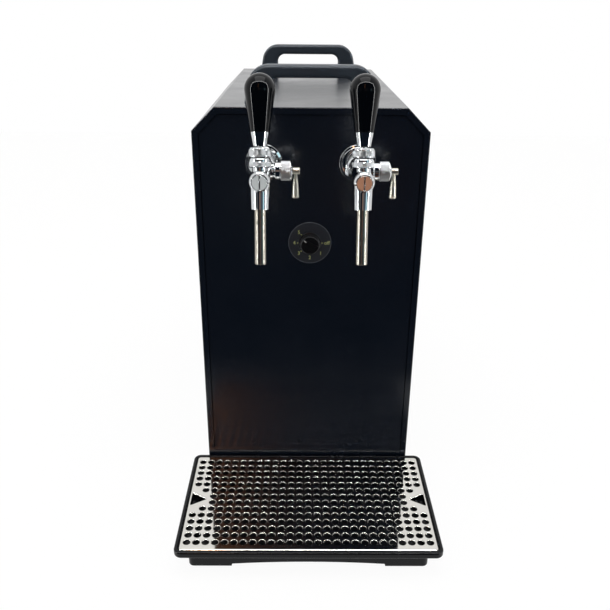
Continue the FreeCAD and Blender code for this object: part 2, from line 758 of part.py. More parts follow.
    spout = body(f"spout_tube_{name}", onHead(-d.spoutDrop), alongHead)
    length = d.spoutDrop - 18.5
    revolve(spout, [(d.spoutBore, 0), (d.spoutRadius - 0.3, 0), (d.spoutRadius, 0.3), (d.spoutRadius, length),
                    (d.spoutBore, length)])

    # flow control on the tap's right: knurled housing, spindle and hanging lever
    flowAt = (side * d.tapSpread, d.frontFace - d.flowReach, d.tapLevel)
    housing = body(f"flow_housing_{name}", (flowAt[0] + d.hubOut, flowAt[1], flowAt[2]), rightward)
    way = d.spindleRadius + 0.06
    revolve(housing, [(way, 0), (10.6, 0), (12.2, 1.6), (12.2, 7.4), (12.8, 8), (12.8, 21.6), (12, 22.4),
                      (9, 24.2), (way, 24.2)])
    flutes(housing, 30, 13.15, 0.9, 9.4, 11)

    armOut = 44.0
    flowLever = body(f"flow_lever_{name}", (flowAt[0] + armOut, flowAt[1], flowAt[2]), ((1, 0, 0), 180))
    revolve(flowLever, [(0, 0), (2.2, 0), (2.2, 4), (3.9, 21), (4.3, 29), (4.3, 32.6), (4.8, 33.6), (4.8, 34.8),
                        (4.3, 35.6), (2.6, 35.6), (2.6, 31.5), (0, 30)])
    spindleStart = armOut - 12
    spindleEnd = 5.4
    spindle = drawing(flowLever, "YZ_Plane", -spindleStart)
    ring(spindle, 0, 0, d.spindleRadius)
    pad(flowLever, spindle, spindleStart + spindleEnd)
    roundOff(flowLever, 0.6, lambda box: box.XLength < 0.01 and box.XMin > spindleEnd - 0.1)


def makeShankNuts():
    item = body("shank_nuts", (0, panelBack, d.tapLevel), rearward)
    wide = 16.0
    nuts = drawing(item, "XY_Plane")
    for side in (-1, 1):
        corners = [(side * d.tapSpread + wide * math.cos(k * math.pi / 3), wide * math.sin(k * math.pi / 3))
                   for k in range(6)]
        outline(nuts, corners)
        ring(nuts, side * d.tapSpread, 0, d.shankRadius + 0.1)
    pad(item, nuts, 9)


# Drip tray: rim, inset basin and four feet
def makeDripTray():
    item = body("drip_tray")
    half = d.trayWide / 2
    low = d.trayInset
    rimSketch = drawing(item, "XY_Plane", d.trayTall - d.rimTall)
    outline(rimSketch, roundedRectangle((-half, trayFront), (half, trayBack), d.trayCorner))
    pad(item, rimSketch, d.rimTall)
    basin = drawing(item, "XY_Plane")
    outline(basin, roundedRectangle((-half + low, trayFront + low), (half - low, trayBack - low), 8))
    pad(item, basin, d.trayTall - d.rimTall + 1)
    edge = num(half) - 0.01
    rimFront = num(trayFront) + 0.01
    rimBack = num(trayBack) - 0.01
    rimFloor = num(d.trayTall - d.rimTall) - 0.01
    roundOff(item, d.rimRound, lambda box: box.ZLength < 0.01 and box.ZMin > rimFloor and (
        max(abs(box.XMin), abs(box.XMax)) > edge or box.YMin < rimFront or box.YMax > rimBack))
    roundOff(item, 2, lambda box: box.ZMax < 0.01)
    rim = d.rimWide
    wall = low + 2
    # seat for the grate, the wide upper trough and the deep basin, from the top down
    for inset, floorLevel, radius in ((rim, d.trayTall - 4, 6), (rim + 2, d.trayTall - d.rimTall + 1.5, 5),
                                      (wall, asLength(10.5), 6)):
        hollow = drawing(item, "XY_Plane", d.trayTall)
        outline(hollow, roundedRectangle((-half + inset, trayFront + inset),
                                         (half - inset, trayBack - inset), radius))
        pocket(item, hollow, d.trayTall - floorLevel)
    inside = num(half - rim)
    roundOff(item, 1.2, lambda box: box.ZMin > num(d.trayTall) - 0.01 and abs(box.XMin) < inside + 0.01
             and abs(box.XMax) < inside + 0.01)
    under = drawing(item, "XY_Plane")
    outline(under, roundedRectangle((-half + wall, trayFront + wall), (half - wall, trayBack - wall), 6))
    pocket(item, under, 9, reverse=True)
    # shallow arches leave a foot at each corner
    foot = d.trayFootLong
    for plane, start, end in (("XZ_Plane", -half + low + foot, half - low - foot),
                              ("YZ_Plane", trayFront + low + foot / 2, trayBack - low - foot / 2)):
        arch = drawing(item, plane, 400 if plane == "XZ_Plane" else -250)
        bow = bowRadius(end - start - 3, d.archRise)
        outline(arch, [(start, -1), (end, -1), (end - 1.5, d.archLow, bow), (start + 1.5, d.archLow)])
        pocket(item, arch, 500, reverse=plane == "YZ_Plane")


# Grate: thin plate with down-turned edges, a grid of holes and two finger holes
def holeGrid():
    """Centres of the drain holes. Rows beside the finger holes lose their outer holes."""
    missing = {5: 1, 6: 2, 7: 2, 8: 1}
    across = num(d.holePitchAcross)
    columns = 27
    for row in range(14):
        y = num(d.frontFace) - num(d.firstHoleRow) - row * num(d.holePitchDeep)
        skip = missing.get(row, 0)
        for column in range(skip, columns - skip):
            yield ((column - (columns - 1) / 2) * across, y)


def fingerHole(side, low, high):
    """Triangle with its base towards the tray's end and its tip towards the middle."""
    base = 177.0
    tip = 153.0
    half = 14.0
    middle = num(d.frontFace) - 113.5
    corners = [Vector(side * base, middle - half, low), Vector(side * base, middle + half, low),
               Vector(side * tip, middle, low)]
    face = Part.Face(Part.makePolygon(corners + corners[:1]))
    return face.extrude(Vector(0, 0, high - low))


def makeGrate():
    rim = d.rimWide + 0.6
    half = num(d.trayWide / 2 - rim)
    front = num(trayFront + rim)
    back = num(trayBack - rim)
    top = num(d.trayTall) - 0.5
    thick = 1.0
    skirt = 3.5
    lip = 1.6
    plate = Part.makeBox(2 * half, back - front, skirt, Vector(-half, front, top - skirt))
    corners = [e for e in plate.Edges if e.BoundBox.ZLength > skirt - 0.1]
    plate = plate.makeFillet(5.2, corners)
    rimEdges = [e for e in plate.Edges if e.BoundBox.ZMin > top - 0.1]
    plate = plate.makeFillet(num(d.grateBend), rimEdges)
    hollow = Part.makeBox(2 * (half - lip), back - front - 2 * lip, skirt,
                          Vector(-half + lip, front + lip, top - skirt - thick))
    radius = num(d.holeRadius)
    low = top - skirt - 1
    drills = [Part.makeCylinder(radius, skirt + 3, Vector(x, y, low)) for x, y in holeGrid()]
    fingers = [fingerHole(side, low, top + 2) for side in (-1, 1)]
    shape = plate.cut(hollow).cut(Part.makeCompound(drills)).cut(Part.makeCompound(fingers))
    keep("drip_grate", formed("DripGrate", shape.Solids[0]))


# Cooling block, coils and insulation
blockFront = asLength(-45)
coilDepths = {"left": -20.0, "right": 40.0}
evaporatorDepth = 10.0
lowRow = d.blockFloor + 23


def beerCoilPoints(side, extra):
    """Serpentine of eight runs. Its ends turn to the front at the top and to the rear at the bottom."""
    sign = dict(sides)[side]
    y = coilDepths[side]
    x = sign * num(d.tapSpread)
    far = sign * (num(d.coilReach) + num(d.coilPitch) / 2)
    low = num(lowRow)
    pitch = num(d.coilPitch)
    points = [(x, num(blockFront) + num(d.blockDeep) + extra, low), (x, y, low)]
    for row in range(7):
        end = far if row % 2 == 0 else -far
        points.append((end, y, low + row * pitch))
        points.append((end, y, low + (row + 1) * pitch))
    points.append((x, y, low + 7 * pitch))
    points.append((x, num(blockFront) - extra, low + 7 * pitch))
    return points


def evaporatorEnd():
    """Where the evaporator's two ends come out of the insulation on the right."""
    return num(d.blockWide / 2 + d.foamGap + d.foamThick) + 4


def evaporatorPoints():
    low = num(lowRow) + num(d.coilPitch)
    pitch = num(d.coilPitch)
    far = num(d.coilReach) + pitch / 2
    out = evaporatorEnd()
    y = evaporatorDepth
    points = [(out, y, low)]
    for row in range(5):
        end = -far if row % 2 == 0 else far
        points.append((end, y, low + row * pitch))
        points.append((end, y, low + (row + 1) * pitch))
    points.append((out, y, low + 5 * pitch))
    return points


def makeCooling():
    radius = num(d.tubeRadius)
    grow = 0.25
    bend = num(d.coilPitch) / 2
    beer = [pipe(beerCoilPoints(side, 0.0), radius, bend) for side, _ in sides]
    beerWays = [rod(beerCoilPoints(side, 5.0), radius + grow, bend) for side, _ in sides]
    cold = pipe(evaporatorPoints(), radius, bend)
    coldWay = rod(evaporatorPoints(), radius + grow, bend)
    keep("beer_coils", formed("BeerCoils", Part.makeCompound(beer)))
    keep("evaporator_coil", formed("EvaporatorCoil", cold))
    wide = d.blockWide
    casting = block("BlockCasting", (wide, d.blockDeep, d.blockTall), (-wide / 2, blockFront, d.blockFloor))
    ways = formed("CoilWays", Part.makeCompound(beerWays + [coldWay]))
    bulbWay = cylinder("BulbWay", 4, 60, (27, blockFront + 35, d.dialLevel - 30), outward)
    keep("cold_block", cut("ColdBlock", cut("BlockWithCoils", casting, ways), bulbWay))
    gap = d.foamGap
    foam = d.foamThick
    low = d.blockFloor - gap - foam
    outerSize = (wide + 2 * (foam + gap), d.blockDeep + 2 * (foam + gap), d.blockTall + foam + gap)
    outer = block("FoamOuter", outerSize, (-wide / 2 - foam - gap, blockFront - foam - gap, low))
    inner = block("FoamInner", (wide + 2 * gap, d.blockDeep + 2 * gap, d.blockTall + 20),
                  (-wide / 2 - gap, blockFront - gap, d.blockFloor - gap))
    topLevel = lowRow + 7 * d.coilPitch
    wallHoles = [cylinder("FoamWay", 5, foam + 20, (side * d.tapSpread, blockFront, topLevel), outward)
                 for side in (-1, 1)]
    wallHoles += [cylinder("FoamWay", 5, foam + 20, (side * d.tapSpread, blockFront + d.blockDeep, lowRow), rearward)
                  for side in (-1, 1)]
    wallHoles += [cylinder("FoamWay", 5, foam + 20,
                           (wide / 2, evaporatorDepth, lowRow + row * d.coilPitch), rightward) for row in (1, 6)]
    wallHoles.append(cylinder("FoamWay", 4, foam + 20, (27, blockFront, d.dialLevel - 30), outward))
    stands = [block("FoamStand", (wide, 20, gap), (-wide / 2, blockFront + y, d.blockFloor - gap))
              for y in (20, d.blockDeep - 40)]
    shell = cut("FoamShell", outer, fuse("FoamHollow", inner, *wallHoles))
    keep("insulation_box", fuse("InsulationBox", shell, *stands))
    lidFloor = low + outerSize[2]
    plate = block("LidPlate", (outerSize[0], outerSize[1], foam),
                  (-outerSize[0] / 2, blockFront - foam - gap, lidFloor))
    keep("insulation_lid", plate)
    outlets = [pipe([(s * num(d.tapSpread), num(blockFront) - 0.1, num(topLevel)),
                     (s * num(d.tapSpread), num(d.frontFace) + 60.2, num(topLevel))], radius, 1) for _, s in sides]
    keep("outlet_lines", formed("OutletLines", Part.makeCompound(outlets)))
    start = num(blockFront + d.blockDeep) + 0.1
    end = num(backFace) - 27.2
    inlets = [pipe([(s * num(d.tapSpread), start, num(lowRow)), (s * num(d.tapSpread), end, num(lowRow))], radius, 1)
              for _, s in sides]
    keep("inlet_lines", formed("InletLines", Part.makeCompound(inlets)))


# Inlet fittings: bulkhead push-in bodies with release collets
def makeInlets():
    bodies = []
    collets = []
    outside = backFace - d.sheetThick
    for side in (-1, 1):
        x = side * d.tapSpread
        shell = fuse("FittingShell",
                     cylinder("FittingTail", 8, 26, (x, outside - 26, inletLevel), rearward),
                     cylinder("FittingFlange", 12.5, 5, (x, outside, inletLevel), rearward),
                     cylinder("FittingNose", 9.5, 18, (x, outside, inletLevel), rearward))
        bores = fuse("FittingBores",
                     cylinder("TubeBore", 4.9, 24, (x, outside - 5, inletLevel), rearward),
                     cylinder("ColletBore", 7.2, 12, (x, outside + 7, inletLevel), rearward),
                     cylinder("TailBore", 4.1, 30, (x, outside - 28, inletLevel), rearward))
        bodies.append(cut("Fitting", shell, bores))
        sleeve = cut("Collet",
                     fuse("ColletSolid",
                          cylinder("ColletSleeve", 7, 11, (x, outside + 8, inletLevel), rearward),
                          cylinder("ColletLip", 7.8, 5.2, (x, outside + 20, inletLevel), rearward),
                          cylinder("ColletNeck", 7, 6, (x, outside + 16, inletLevel), rearward)),
                     cylinder("ColletBoreThrough", 4.85, 30, (x, outside, inletLevel), rearward))
        collets.append(sleeve)
    for label, pieces in (("inlet_fittings", bodies), ("inlet_collets", collets)):
        group = doc.addObject("Part::Compound", label + "_group")
        group.Links = pieces
        keep(label, group)


# Power inlet: appliance socket in the rear panel
def makePowerInlet():
    x, z = powerAt
    outside = backFace - d.sheetThick
    flange = block("InletFlange", (50, 2.8, 24), (x - 25, outside, z - 12))
    shell = block("InletShell", (2 * powerHalf[0] - 0.6, 24, 2 * powerHalf[1] - 0.6),
                  (x - powerHalf[0] + 0.3, outside - 24, z - powerHalf[1] + 0.3))
    hollow = block("InletHollow", (24, 20, 16.4), (x - 12, outside - 15, z - 8.2))
    pins = [block("InletPin", (2, 14, 4), (x + dx - 1, outside - 17, z + dz - 2))
            for dx, dz in ((-7, -2), (7, -2), (0, 3))]
    holes = [cylinder("InletScrewHole", 1.7, 10, (x + dx, outside + 5, z), outward) for dx in (-20, 20)]
    shellCut = cut("InletBody", fuse("InletSolid", flange, shell), fuse("InletHoles", hollow, *holes))
    keep("power_inlet", fuse("PowerInlet", shellCut, *pins))


# Compressor with its mounting legs, relay and grommets
canAt = (-52.0, 60.0)


def makeCompressor():
    x, y = canAt
    floor = caseFloor + 12
    can = body("compressor", (x, y, floor))
    r = d.canRadius
    tall = d.canTall
    revolve(can, [(0, 0), (r - 22, 0), (r - 8, 8), (r - 2, 22), (r - 2, tall * 0.52), (r, tall * 0.53),
                  (r, tall * 0.58), (r - 2, tall * 0.59), (r - 4, tall - 34), (r - 16, tall - 12),
                  (r - 40, tall), (0, tall)])
    legs = drawing(can, "XY_Plane", 2)
    legX = 88
    legY = 62
    outline(legs, rectangle((-legX, -legY), (legX, -legY + 26)))
    outline(legs, rectangle((-legX, legY - 26), (legX, legY)))
    pad(can, legs, 3)
    holes = drawing(can, "XY_Plane")
    grommets = []
    for sx in (-1, 1):
        for sy in (-1, 1):
            across = sx * (legX - 12)
            along = sy * (legY - 13)
            ring(holes, across, along, 7.2)
            rubber = fuse("Grommet",
                          cylinder("GrommetFoot", 10, 13.8, (x + across, y + along, caseFloor)),
                          cylinder("GrommetNeck", 7, 5, (x + across, y + along, caseFloor + 13)),
                          cylinder("GrommetTop", 9.4, 3, (x + across, y + along, caseFloor + 17.4)))
            grommets.append(rubber)
    pocket(can, holes, 6, reverse=True)
    group = doc.addObject("Part::Compound", "GrommetGroup")
    group.Links = grommets
    keep("compressor_grommets", group)
    keep("relay_box", block("RelayBox", (34, 44, 56), (x + r + 0.2, y - 22, floor + 70)))


# Condenser, fan and motor behind the rear grille
condenserMiddle = 338.0
condenserFloor = 44.0
fanLevel = 144.0


def condenserRuns():
    return [condenserFloor + 18 + row * 25.0 for row in range(8)]


def makeCondenser():
    deep = num(d.finDeep)
    fin = Part.makeBox(0.6, deep, num(d.finTall), Vector(0, condenserMiddle - deep / 2, condenserFloor))
    for level in condenserRuns():
        fin = fin.cut(Part.makeCylinder(4.3, 4, Vector(-2, condenserMiddle, level), Vector(1, 0, 0)))
    half = num(d.finWide) / 2
    count = 28
    fins = []
    for index in range(count):
        copy = fin.copy()
        copy.translate(Vector(-half + index * (2 * half - 0.6) / (count - 1), 0, 0))
        fins.append(copy)
    keep("condenser_fins", formed("CondenserFins", Part.makeCompound(fins)))
    points = []
    for row, level in enumerate(condenserRuns()):
        end = half + 16
        low, high = (-end, end) if row % 2 == 0 else (end, -end)
        points.append((low, condenserMiddle, level))
        points.append((high, condenserMiddle, level))
    points[0] = (-half - 6, condenserMiddle, points[0][2])
    points[-1] = (-half - 6, condenserMiddle, points[-1][2])
    keep("condenser_tube", formed("CondenserTube", pipe(points, num(d.tubeRadius), 12.4)))


def makeFan():
    shroudY = condenserMiddle - d.finDeep / 2 - 14
    half = d.finWide / 2
    plate = block("ShroudPlate", (d.finWide, 1.2, d.finTall), (-half, shroudY, condenserFloor))
    mouth = cylinder("ShroudMouth", d.fanRadius + 5, 20, (0, shroudY - 8, fanLevel), rearward)
    walls = [block("ShroudSide", (1.2, 12.5, d.finTall), (x, shroudY, condenserFloor))
             for x in (-half, half - 1.2)]
    feet = [block("ShroudFoot", (30, 1.2, condenserFloor - caseFloor), (x, shroudY, caseFloor))
            for x in (-half, half - 30)]
    frame = cut("ShroudFrame", plate, mouth)
    keep("fan_shroud", fuse("FanShroud", frame, *walls, *feet))

    motorFront = shroudY - 24
    can = cylinder("MotorCan", 38, 46, (0, motorFront, fanLevel), outward)
    bore = cylinder("MotorBore", 3.06, 20, (0, motorFront + 1, fanLevel), outward)
    stand = block("MotorStand", (56, 2, fanLevel - caseFloor), (-28, motorFront - 48, caseFloor))
    shoe = block("MotorShoe", (56, 30, 2), (-28, motorFront - 48, caseFloor))
    keep("fan_motor", fuse("FanMotor", cut("MotorWithBore", can, bore), stand, shoe))

    hub = cylinder("FanHub", 16, 14, (0, 0, 0))
    shaft = cylinder("FanShaft", 3, 22, (0, 0, -20))
    blades = []
    span = d.fanRadius - 14
    for k in range(5):
        blade = doc.addObject("Part::Box", "Blade")
        bind(blade, "Length", span)
        bind(blade, "Width", 46)
        bind(blade, "Height", 1.4)
        pitch = Rotation(Vector(1, 0, 0), 16)
        spin = Rotation(Vector(0, 0, 1), k * 72)
        outOfHub = Placement(Vector(14, 0, 6), pitch) * Placement(Vector(0, -23, 0), Rotation())
        blade.Placement = Placement(Vector(0, 0, 0), spin) * outOfHub
        blades.append(blade)
    fan = fuse("FanBlade", hub, shaft, *blades)
    place(fan, (0, motorFront + 3, fanLevel), rearward)
    keep("fan_blade", fan)


# Refrigerant side: drier and copper lines
def makeRefrigerant():
    drierAt = (128.0, 215.0)
    drier = body("filter_drier", (drierAt[0], drierAt[1], 60))
    revolve(drier, [(0, 0), (3, 0), (3, 6), (9.5, 14), (9.5, 84), (3, 92), (3, 98), (0, 98)])
    radius = num(d.linePipe)
    r = num(d.canRadius)
    half = num(d.finWide) / 2
    low = num(lowRow) + num(d.coilPitch)
    high = low + 5 * num(d.coilPitch)
    out = evaporatorEnd() + 0.1
    side = 155.0
    suctionLevel = 105.0
    dischargeLevel = 150.0
    runs = condenserRuns()
    canX, canY = canAt
    # the lines meet the can square to its wall
    suctionEnd = canY - (r - 2) - 0.15
    dischargeStart = canY + (r - 2.7) + 0.15
    leftOfFins = -half - 20
    suction = [(out, evaporatorDepth, high), (side, evaporatorDepth, high), (side, evaporatorDepth, suctionLevel),
               (side, suctionEnd - 32, suctionLevel), (canX, suctionEnd - 32, suctionLevel),
               (canX, suctionEnd, suctionLevel)]
    liquid = [(drierAt[0], drierAt[1], 158.2), (drierAt[0], drierAt[1], 225), (side, drierAt[1] - 40, 225),
              (side, evaporatorDepth + 30, 225), (side, evaporatorDepth + 30, low), (side, evaporatorDepth, low),
              (out, evaporatorDepth, low)]
    toCondenser = [(canX, dischargeStart, dischargeLevel), (canX, dischargeStart + 40, dischargeLevel),
                   (leftOfFins, dischargeStart + 40, dischargeLevel),
                   (leftOfFins, condenserMiddle - 30, dischargeLevel),
                   (leftOfFins, condenserMiddle - 30, runs[-1]), (leftOfFins, condenserMiddle, runs[-1]),
                   (-half - 6.2, condenserMiddle, runs[-1])]
    fromCondenser = [(-half - 6.2, condenserMiddle, runs[0]), (leftOfFins - 2, condenserMiddle, runs[0]),
                     (leftOfFins - 2, 205, 36), (drierAt[0], 205, 36), (drierAt[0], drierAt[1], 40),
                     (drierAt[0], drierAt[1], 59.8)]
    shapes = [pipe(points, radius, 6.0) for points in (suction, liquid, toCondenser, fromCondenser)]
    keep("refrigerant_lines", formed("RefrigerantLines", Part.makeCompound(shapes)))


makeOuterCasing()
makeBasePan()
makeFrontPanel()
makeRearPanel()
makeFeet()
for handleLabel, handleCentre in gripCentres():
    makeCarryHandle(handleLabel, handleCentre)
makeScrews()
makeThermostat()
for tapName, tapSide in sides:
    makeTap(tapName, tapSide)
makeShankNuts()
makeDripTray()
makeGrate()
makeCooling()
makeInlets()
makePowerInlet()
makeCompressor()
makeCondenser()
makeFan()
makeRefrigerant()
doc.recompute()

# Nothing is written unless every object and every sub-part is sound
for item in doc.Objects:
    if "Invalid" in item.State or "Error" in item.State:
        raise RuntimeError(f"{item.Label} failed: {item.State}")
for label, item in subParts.items():
    if item.Shape.isNull() or not item.Shape.isValid() or not item.Shape.Solids:
        raise RuntimeError(f"{label} has no sound shape")
os.makedirs("parts", exist_ok=True)
for label, item in subParts.items():
    item.Shape.exportStep(f"parts/{label}.step")
    box = item.Shape.BoundBox
    print(f"{label}: {len(item.Shape.Solids)} solids, {item.Shape.Volume / 1000:.1f} cm3, "
          f"x {box.XMin:.1f} {box.XMax:.1f} y {box.YMin:.1f} {box.YMax:.1f} z {box.ZMin:.1f} {box.ZMax:.1f}")
print(len(subParts), "sub-parts written")
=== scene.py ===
# Two-tap beer cooler: finishes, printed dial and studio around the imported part
import json
import math

import bpy
import numpy as np
from mathutils import Matrix, Vector, geometry


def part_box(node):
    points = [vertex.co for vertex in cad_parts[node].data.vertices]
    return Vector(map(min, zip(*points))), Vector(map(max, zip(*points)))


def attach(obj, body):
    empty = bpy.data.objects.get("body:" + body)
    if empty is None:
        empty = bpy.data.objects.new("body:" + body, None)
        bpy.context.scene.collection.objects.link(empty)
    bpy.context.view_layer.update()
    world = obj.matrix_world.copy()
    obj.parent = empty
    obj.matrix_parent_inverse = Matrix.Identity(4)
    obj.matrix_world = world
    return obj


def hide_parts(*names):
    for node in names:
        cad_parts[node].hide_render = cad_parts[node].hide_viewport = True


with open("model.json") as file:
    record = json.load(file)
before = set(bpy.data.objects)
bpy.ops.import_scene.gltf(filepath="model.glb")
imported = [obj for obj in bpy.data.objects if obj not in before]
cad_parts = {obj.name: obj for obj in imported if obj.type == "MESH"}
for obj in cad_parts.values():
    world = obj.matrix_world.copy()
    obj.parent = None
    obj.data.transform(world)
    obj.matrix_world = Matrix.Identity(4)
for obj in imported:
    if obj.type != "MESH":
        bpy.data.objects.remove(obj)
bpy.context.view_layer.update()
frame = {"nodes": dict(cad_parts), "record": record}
scene = bpy.context.scene
nodes = frame["nodes"]
mm = 0.001
print("frame loaded:", len(nodes), "nodes")

# Where the photograph was taken from, solved from the cabinet's edges
camera = {
    "place": (-0.01505, -1.1312, 0.7310),
    "yaw": 0.53, "pitch": -23.78, "roll": 0.51,
    "lens": 41.165, "sensor": 36.0, "nearest": 0.02, "farthest": 60,
}


def makeCamera():
    yaw, pitch, roll = (math.radians(camera[word]) for word in ("yaw", "pitch", "roll"))
    ahead = Vector((math.sin(yaw) * math.cos(pitch), math.cos(yaw) * math.cos(pitch), math.sin(pitch)))
    level = Vector((math.cos(yaw), -math.sin(yaw), 0))
    upward = level.cross(ahead)
    across = level * math.cos(roll) + upward * math.sin(roll)
    upright = upward * math.cos(roll) - level * math.sin(roll)
    lens = bpy.data.cameras.new("photoCamera")
    lens.lens = camera["lens"]
    lens.sensor_width = camera["sensor"]
    lens.clip_start = camera["nearest"]
    lens.clip_end = camera["farthest"]
    holder = bpy.data.objects.new("photoCamera", lens)
    turn = Matrix((across, upright, -ahead)).transposed().to_4x4()
    holder.matrix_world = Matrix.Translation(camera["place"]) @ turn
    scene.collection.objects.link(holder)
    scene.camera = holder


makeCamera()
scene.view_settings.view_transform = "Standard"


# sRGB hex to the linear colour that a socket holds
def toLinear(colour):
    parts = np.array([int(colour[i:i + 2], 16) for i in (1, 3, 5)]) / 255
    linear = np.where(parts <= 0.04045, parts / 12.92, ((parts + 0.055) / 1.055) ** 2.4)
    return (*linear.tolist(), 1.0)


# Adds one node: inputs hold values or sockets to link, and the rest are the node's own settings
def addNode(tree, kind, inputs=None, **settings):
    node = tree.nodes.new(kind)
    for name, value in settings.items():
        setattr(node, name, value)
    for socket, value in (inputs or {}).items():
        if isinstance(value, bpy.types.NodeSocket):
            tree.links.new(value, node.inputs[socket])
        else:
            node.inputs[socket].default_value = value
    return node


# A material with its shader, ready for a pattern on Object coordinates
def startMaterial(name, colour, metallic, roughness, **fixed):
    material = bpy.data.materials.new(name)
    material.use_nodes = True
    tree = material.node_tree
    tree.nodes.clear()
    shader = addNode(tree, "ShaderNodeBsdfPrincipled", {
        "Base Color": toLinear(colour), "Metallic": metallic, "Roughness": roughness, **fixed})
    addNode(tree, "ShaderNodeOutputMaterial", {"Surface": shader.outputs[0]})
    place = addNode(tree, "ShaderNodeTexCoord").outputs["Object"]
    return material, tree, shader, place


# Noise whose grains are about that many millimetres across
def grain(tree, place, size, detail=3.0, rough=0.5, stretch=(1, 1, 1)):
    mapped = addNode(tree, "ShaderNodeMapping", {"Vector": place, "Scale": stretch}).outputs[0]
    return addNode(tree, "ShaderNodeTexNoise", {
        "Vector": mapped, "Scale": 1 / (size * mm), "Detail": detail, "Roughness": rough}).outputs["Fac"]


# Turns a 0 to 1 pattern into a range of values
def spread(tree, value, low, high, fromLow=0.3, fromHigh=0.7):
    return addNode(tree, "ShaderNodeMapRange", {
        "Value": value, "From Min": fromLow, "From Max": fromHigh, "To Min": low, "To Max": high}).outputs[0]


# Blends two colours by a 0 to 1 pattern
def blendColours(tree, value, first, second):
    return addNode(tree, "ShaderNodeMix", {0: value, 6: first, 7: second}, data_type="RGBA").outputs[2]


def twoTones(tree, value, first, second):
    return blendColours(tree, value, toLinear(first), toLinear(second))


# Lifts the surface by a pattern, in millimetres
def relief(tree, shader, height, tall):
    bump = addNode(tree, "ShaderNodeBump", {"Height": height, "Distance": tall * mm})
    tree.links.new(bump.outputs[0], shader.inputs["Normal"])


def link(tree, value, shader, socket):
    tree.links.new(value, shader.inputs[socket])


# Satin polyester powder coat: orange peel about a millimetre across, and faint cloudiness in its gloss
def powderCoat():
    material, tree, shader, place = startMaterial("satinPowderCoat", "#0e1621", 0.0, 0.2, IOR=1.5)
    cloud = grain(tree, place, 60, detail=2)
    link(tree, twoTones(tree, cloud, "#0d141e", "#101825"), shader, "Base Color")
    link(tree, spread(tree, cloud, 0.18, 0.24), shader, "Roughness")
    relief(tree, shader, grain(tree, place, 1.4, detail=1), 0.004)
    return material


# Bright chrome plate on polished brass: mirror with a trace of polishing swirl
def chromePlate():
    material, tree, shader, place = startMaterial("brightChromePlate", "#cfd1d3", 1.0, 0.02)
    swirl = grain(tree, place, 3, detail=4)
    link(tree, twoTones(tree, swirl, "#c9ccce", "#d5d7d8"), shader, "Base Color")
    link(tree, spread(tree, swirl, 0.012, 0.028), shader, "Roughness")
    return material


# Satin nickel plate: warmer than chrome, with a soft sheen
def satinNickel():
    material, tree, shader, place = startMaterial("satinNickelPlate", "#dcd8ca", 1.0, 0.4)
    wipe = grain(tree, place, 2, detail=3, stretch=(1, 1, 0.2))
    link(tree, twoTones(tree, wipe, "#d6d2c2", "#e2dfd4"), shader, "Base Color")
    link(tree, spread(tree, wipe, 0.36, 0.46), shader, "Roughness")
    return material


# Stainless tube, linished lengthwise: fine scratches run round it
def spoutSteel():
    material, tree, shader, place = startMaterial("linishedStainlessTube", "#a8a298", 1.0, 0.24)
    scratch = grain(tree, place, 0.5, detail=2, stretch=(0.15, 0.15, 1))
    link(tree, twoTones(tree, scratch, "#a19b90", "#b0aba1"), shader, "Base Color")
    link(tree, spread(tree, scratch, 0.17, 0.24), shader, "Roughness")
    relief(tree, shader, scratch, 0.001)
    return material


# Bright annealed stainless sheet: near mirror with rolling grain along its length and water marks
def mirrorSheet():
    material, tree, shader, place = startMaterial("brightAnnealedStainless", "#d8d6d0", 1.0, 0.05)
    rolled = grain(tree, place, 0.8, detail=2, stretch=(0.04, 1, 1))
    marks = grain(tree, place, 35, detail=3)
    link(tree, twoTones(tree, marks, "#d4d2cc", "#dcdad5"), shader, "Base Color")
    both = addNode(tree, "ShaderNodeMath", {0: rolled, 1: marks}, operation="MULTIPLY").outputs[0]
    link(tree, spread(tree, both, 0.03, 0.09, 0.15, 0.4), shader, "Roughness")
    relief(tree, shader, rolled, 0.0008)
    return material


# Glossy black phenolic, moulded and buffed
def phenolic():
    material, tree, shader, place = startMaterial("buffedBlackPhenolic", "#05070b", 0.0, 0.03,
                                                  **{"IOR": 1.5, "Specular IOR Level": 0.17})
    haze = grain(tree, place, 6, detail=3)
    link(tree, twoTones(tree, haze, "#04060a", "#070a0f"), shader, "Base Color")
    link(tree, spread(tree, haze, 0.015, 0.045), shader, "Roughness")
    return material


# Glass-filled nylon with a spark-eroded mould texture, slate black
def mouldedNylon():
    material, tree, shader, place = startMaterial("texturedGlassNylon", "#2b343e", 0.0, 0.42)
    sparks = grain(tree, place, 0.7, detail=3)
    patch = grain(tree, place, 25, detail=2)
    link(tree, twoTones(tree, patch, "#27313b", "#2f3842"), shader, "Base Color")
    link(tree, spread(tree, sparks, 0.36, 0.5), shader, "Roughness")
    relief(tree, shader, sparks, 0.03)
    return material


# Injection-moulded black ABS, satin, as on a drip tray
def trayPlastic():
    material, tree, shader, place = startMaterial("satinBlackAbs", "#05070b", 0.0, 0.24,
                                                  **{"Specular IOR Level": 0.22})
    flow = grain(tree, place, 18, detail=2)
    link(tree, twoTones(tree, flow, "#04060a", "#080b10"), shader, "Base Color")
    link(tree, spread(tree, flow, 0.2, 0.3), shader, "Roughness")
    relief(tree, shader, grain(tree, place, 1.6, detail=1), 0.006)
    return material


# Chrome plate over a fine straight knurl, which is too fine to mirror and scatters instead
def knurledChrome():
    material, tree, shader, place = startMaterial("knurledChromePlate", "#b4b6b8", 1.0, 0.36)
    dust = grain(tree, place, 0.5, detail=2)
    link(tree, twoTones(tree, dust, "#a2a4a6", "#c4c6c8"), shader, "Base Color")
    link(tree, spread(tree, dust, 0.3, 0.42), shader, "Roughness")
    return material


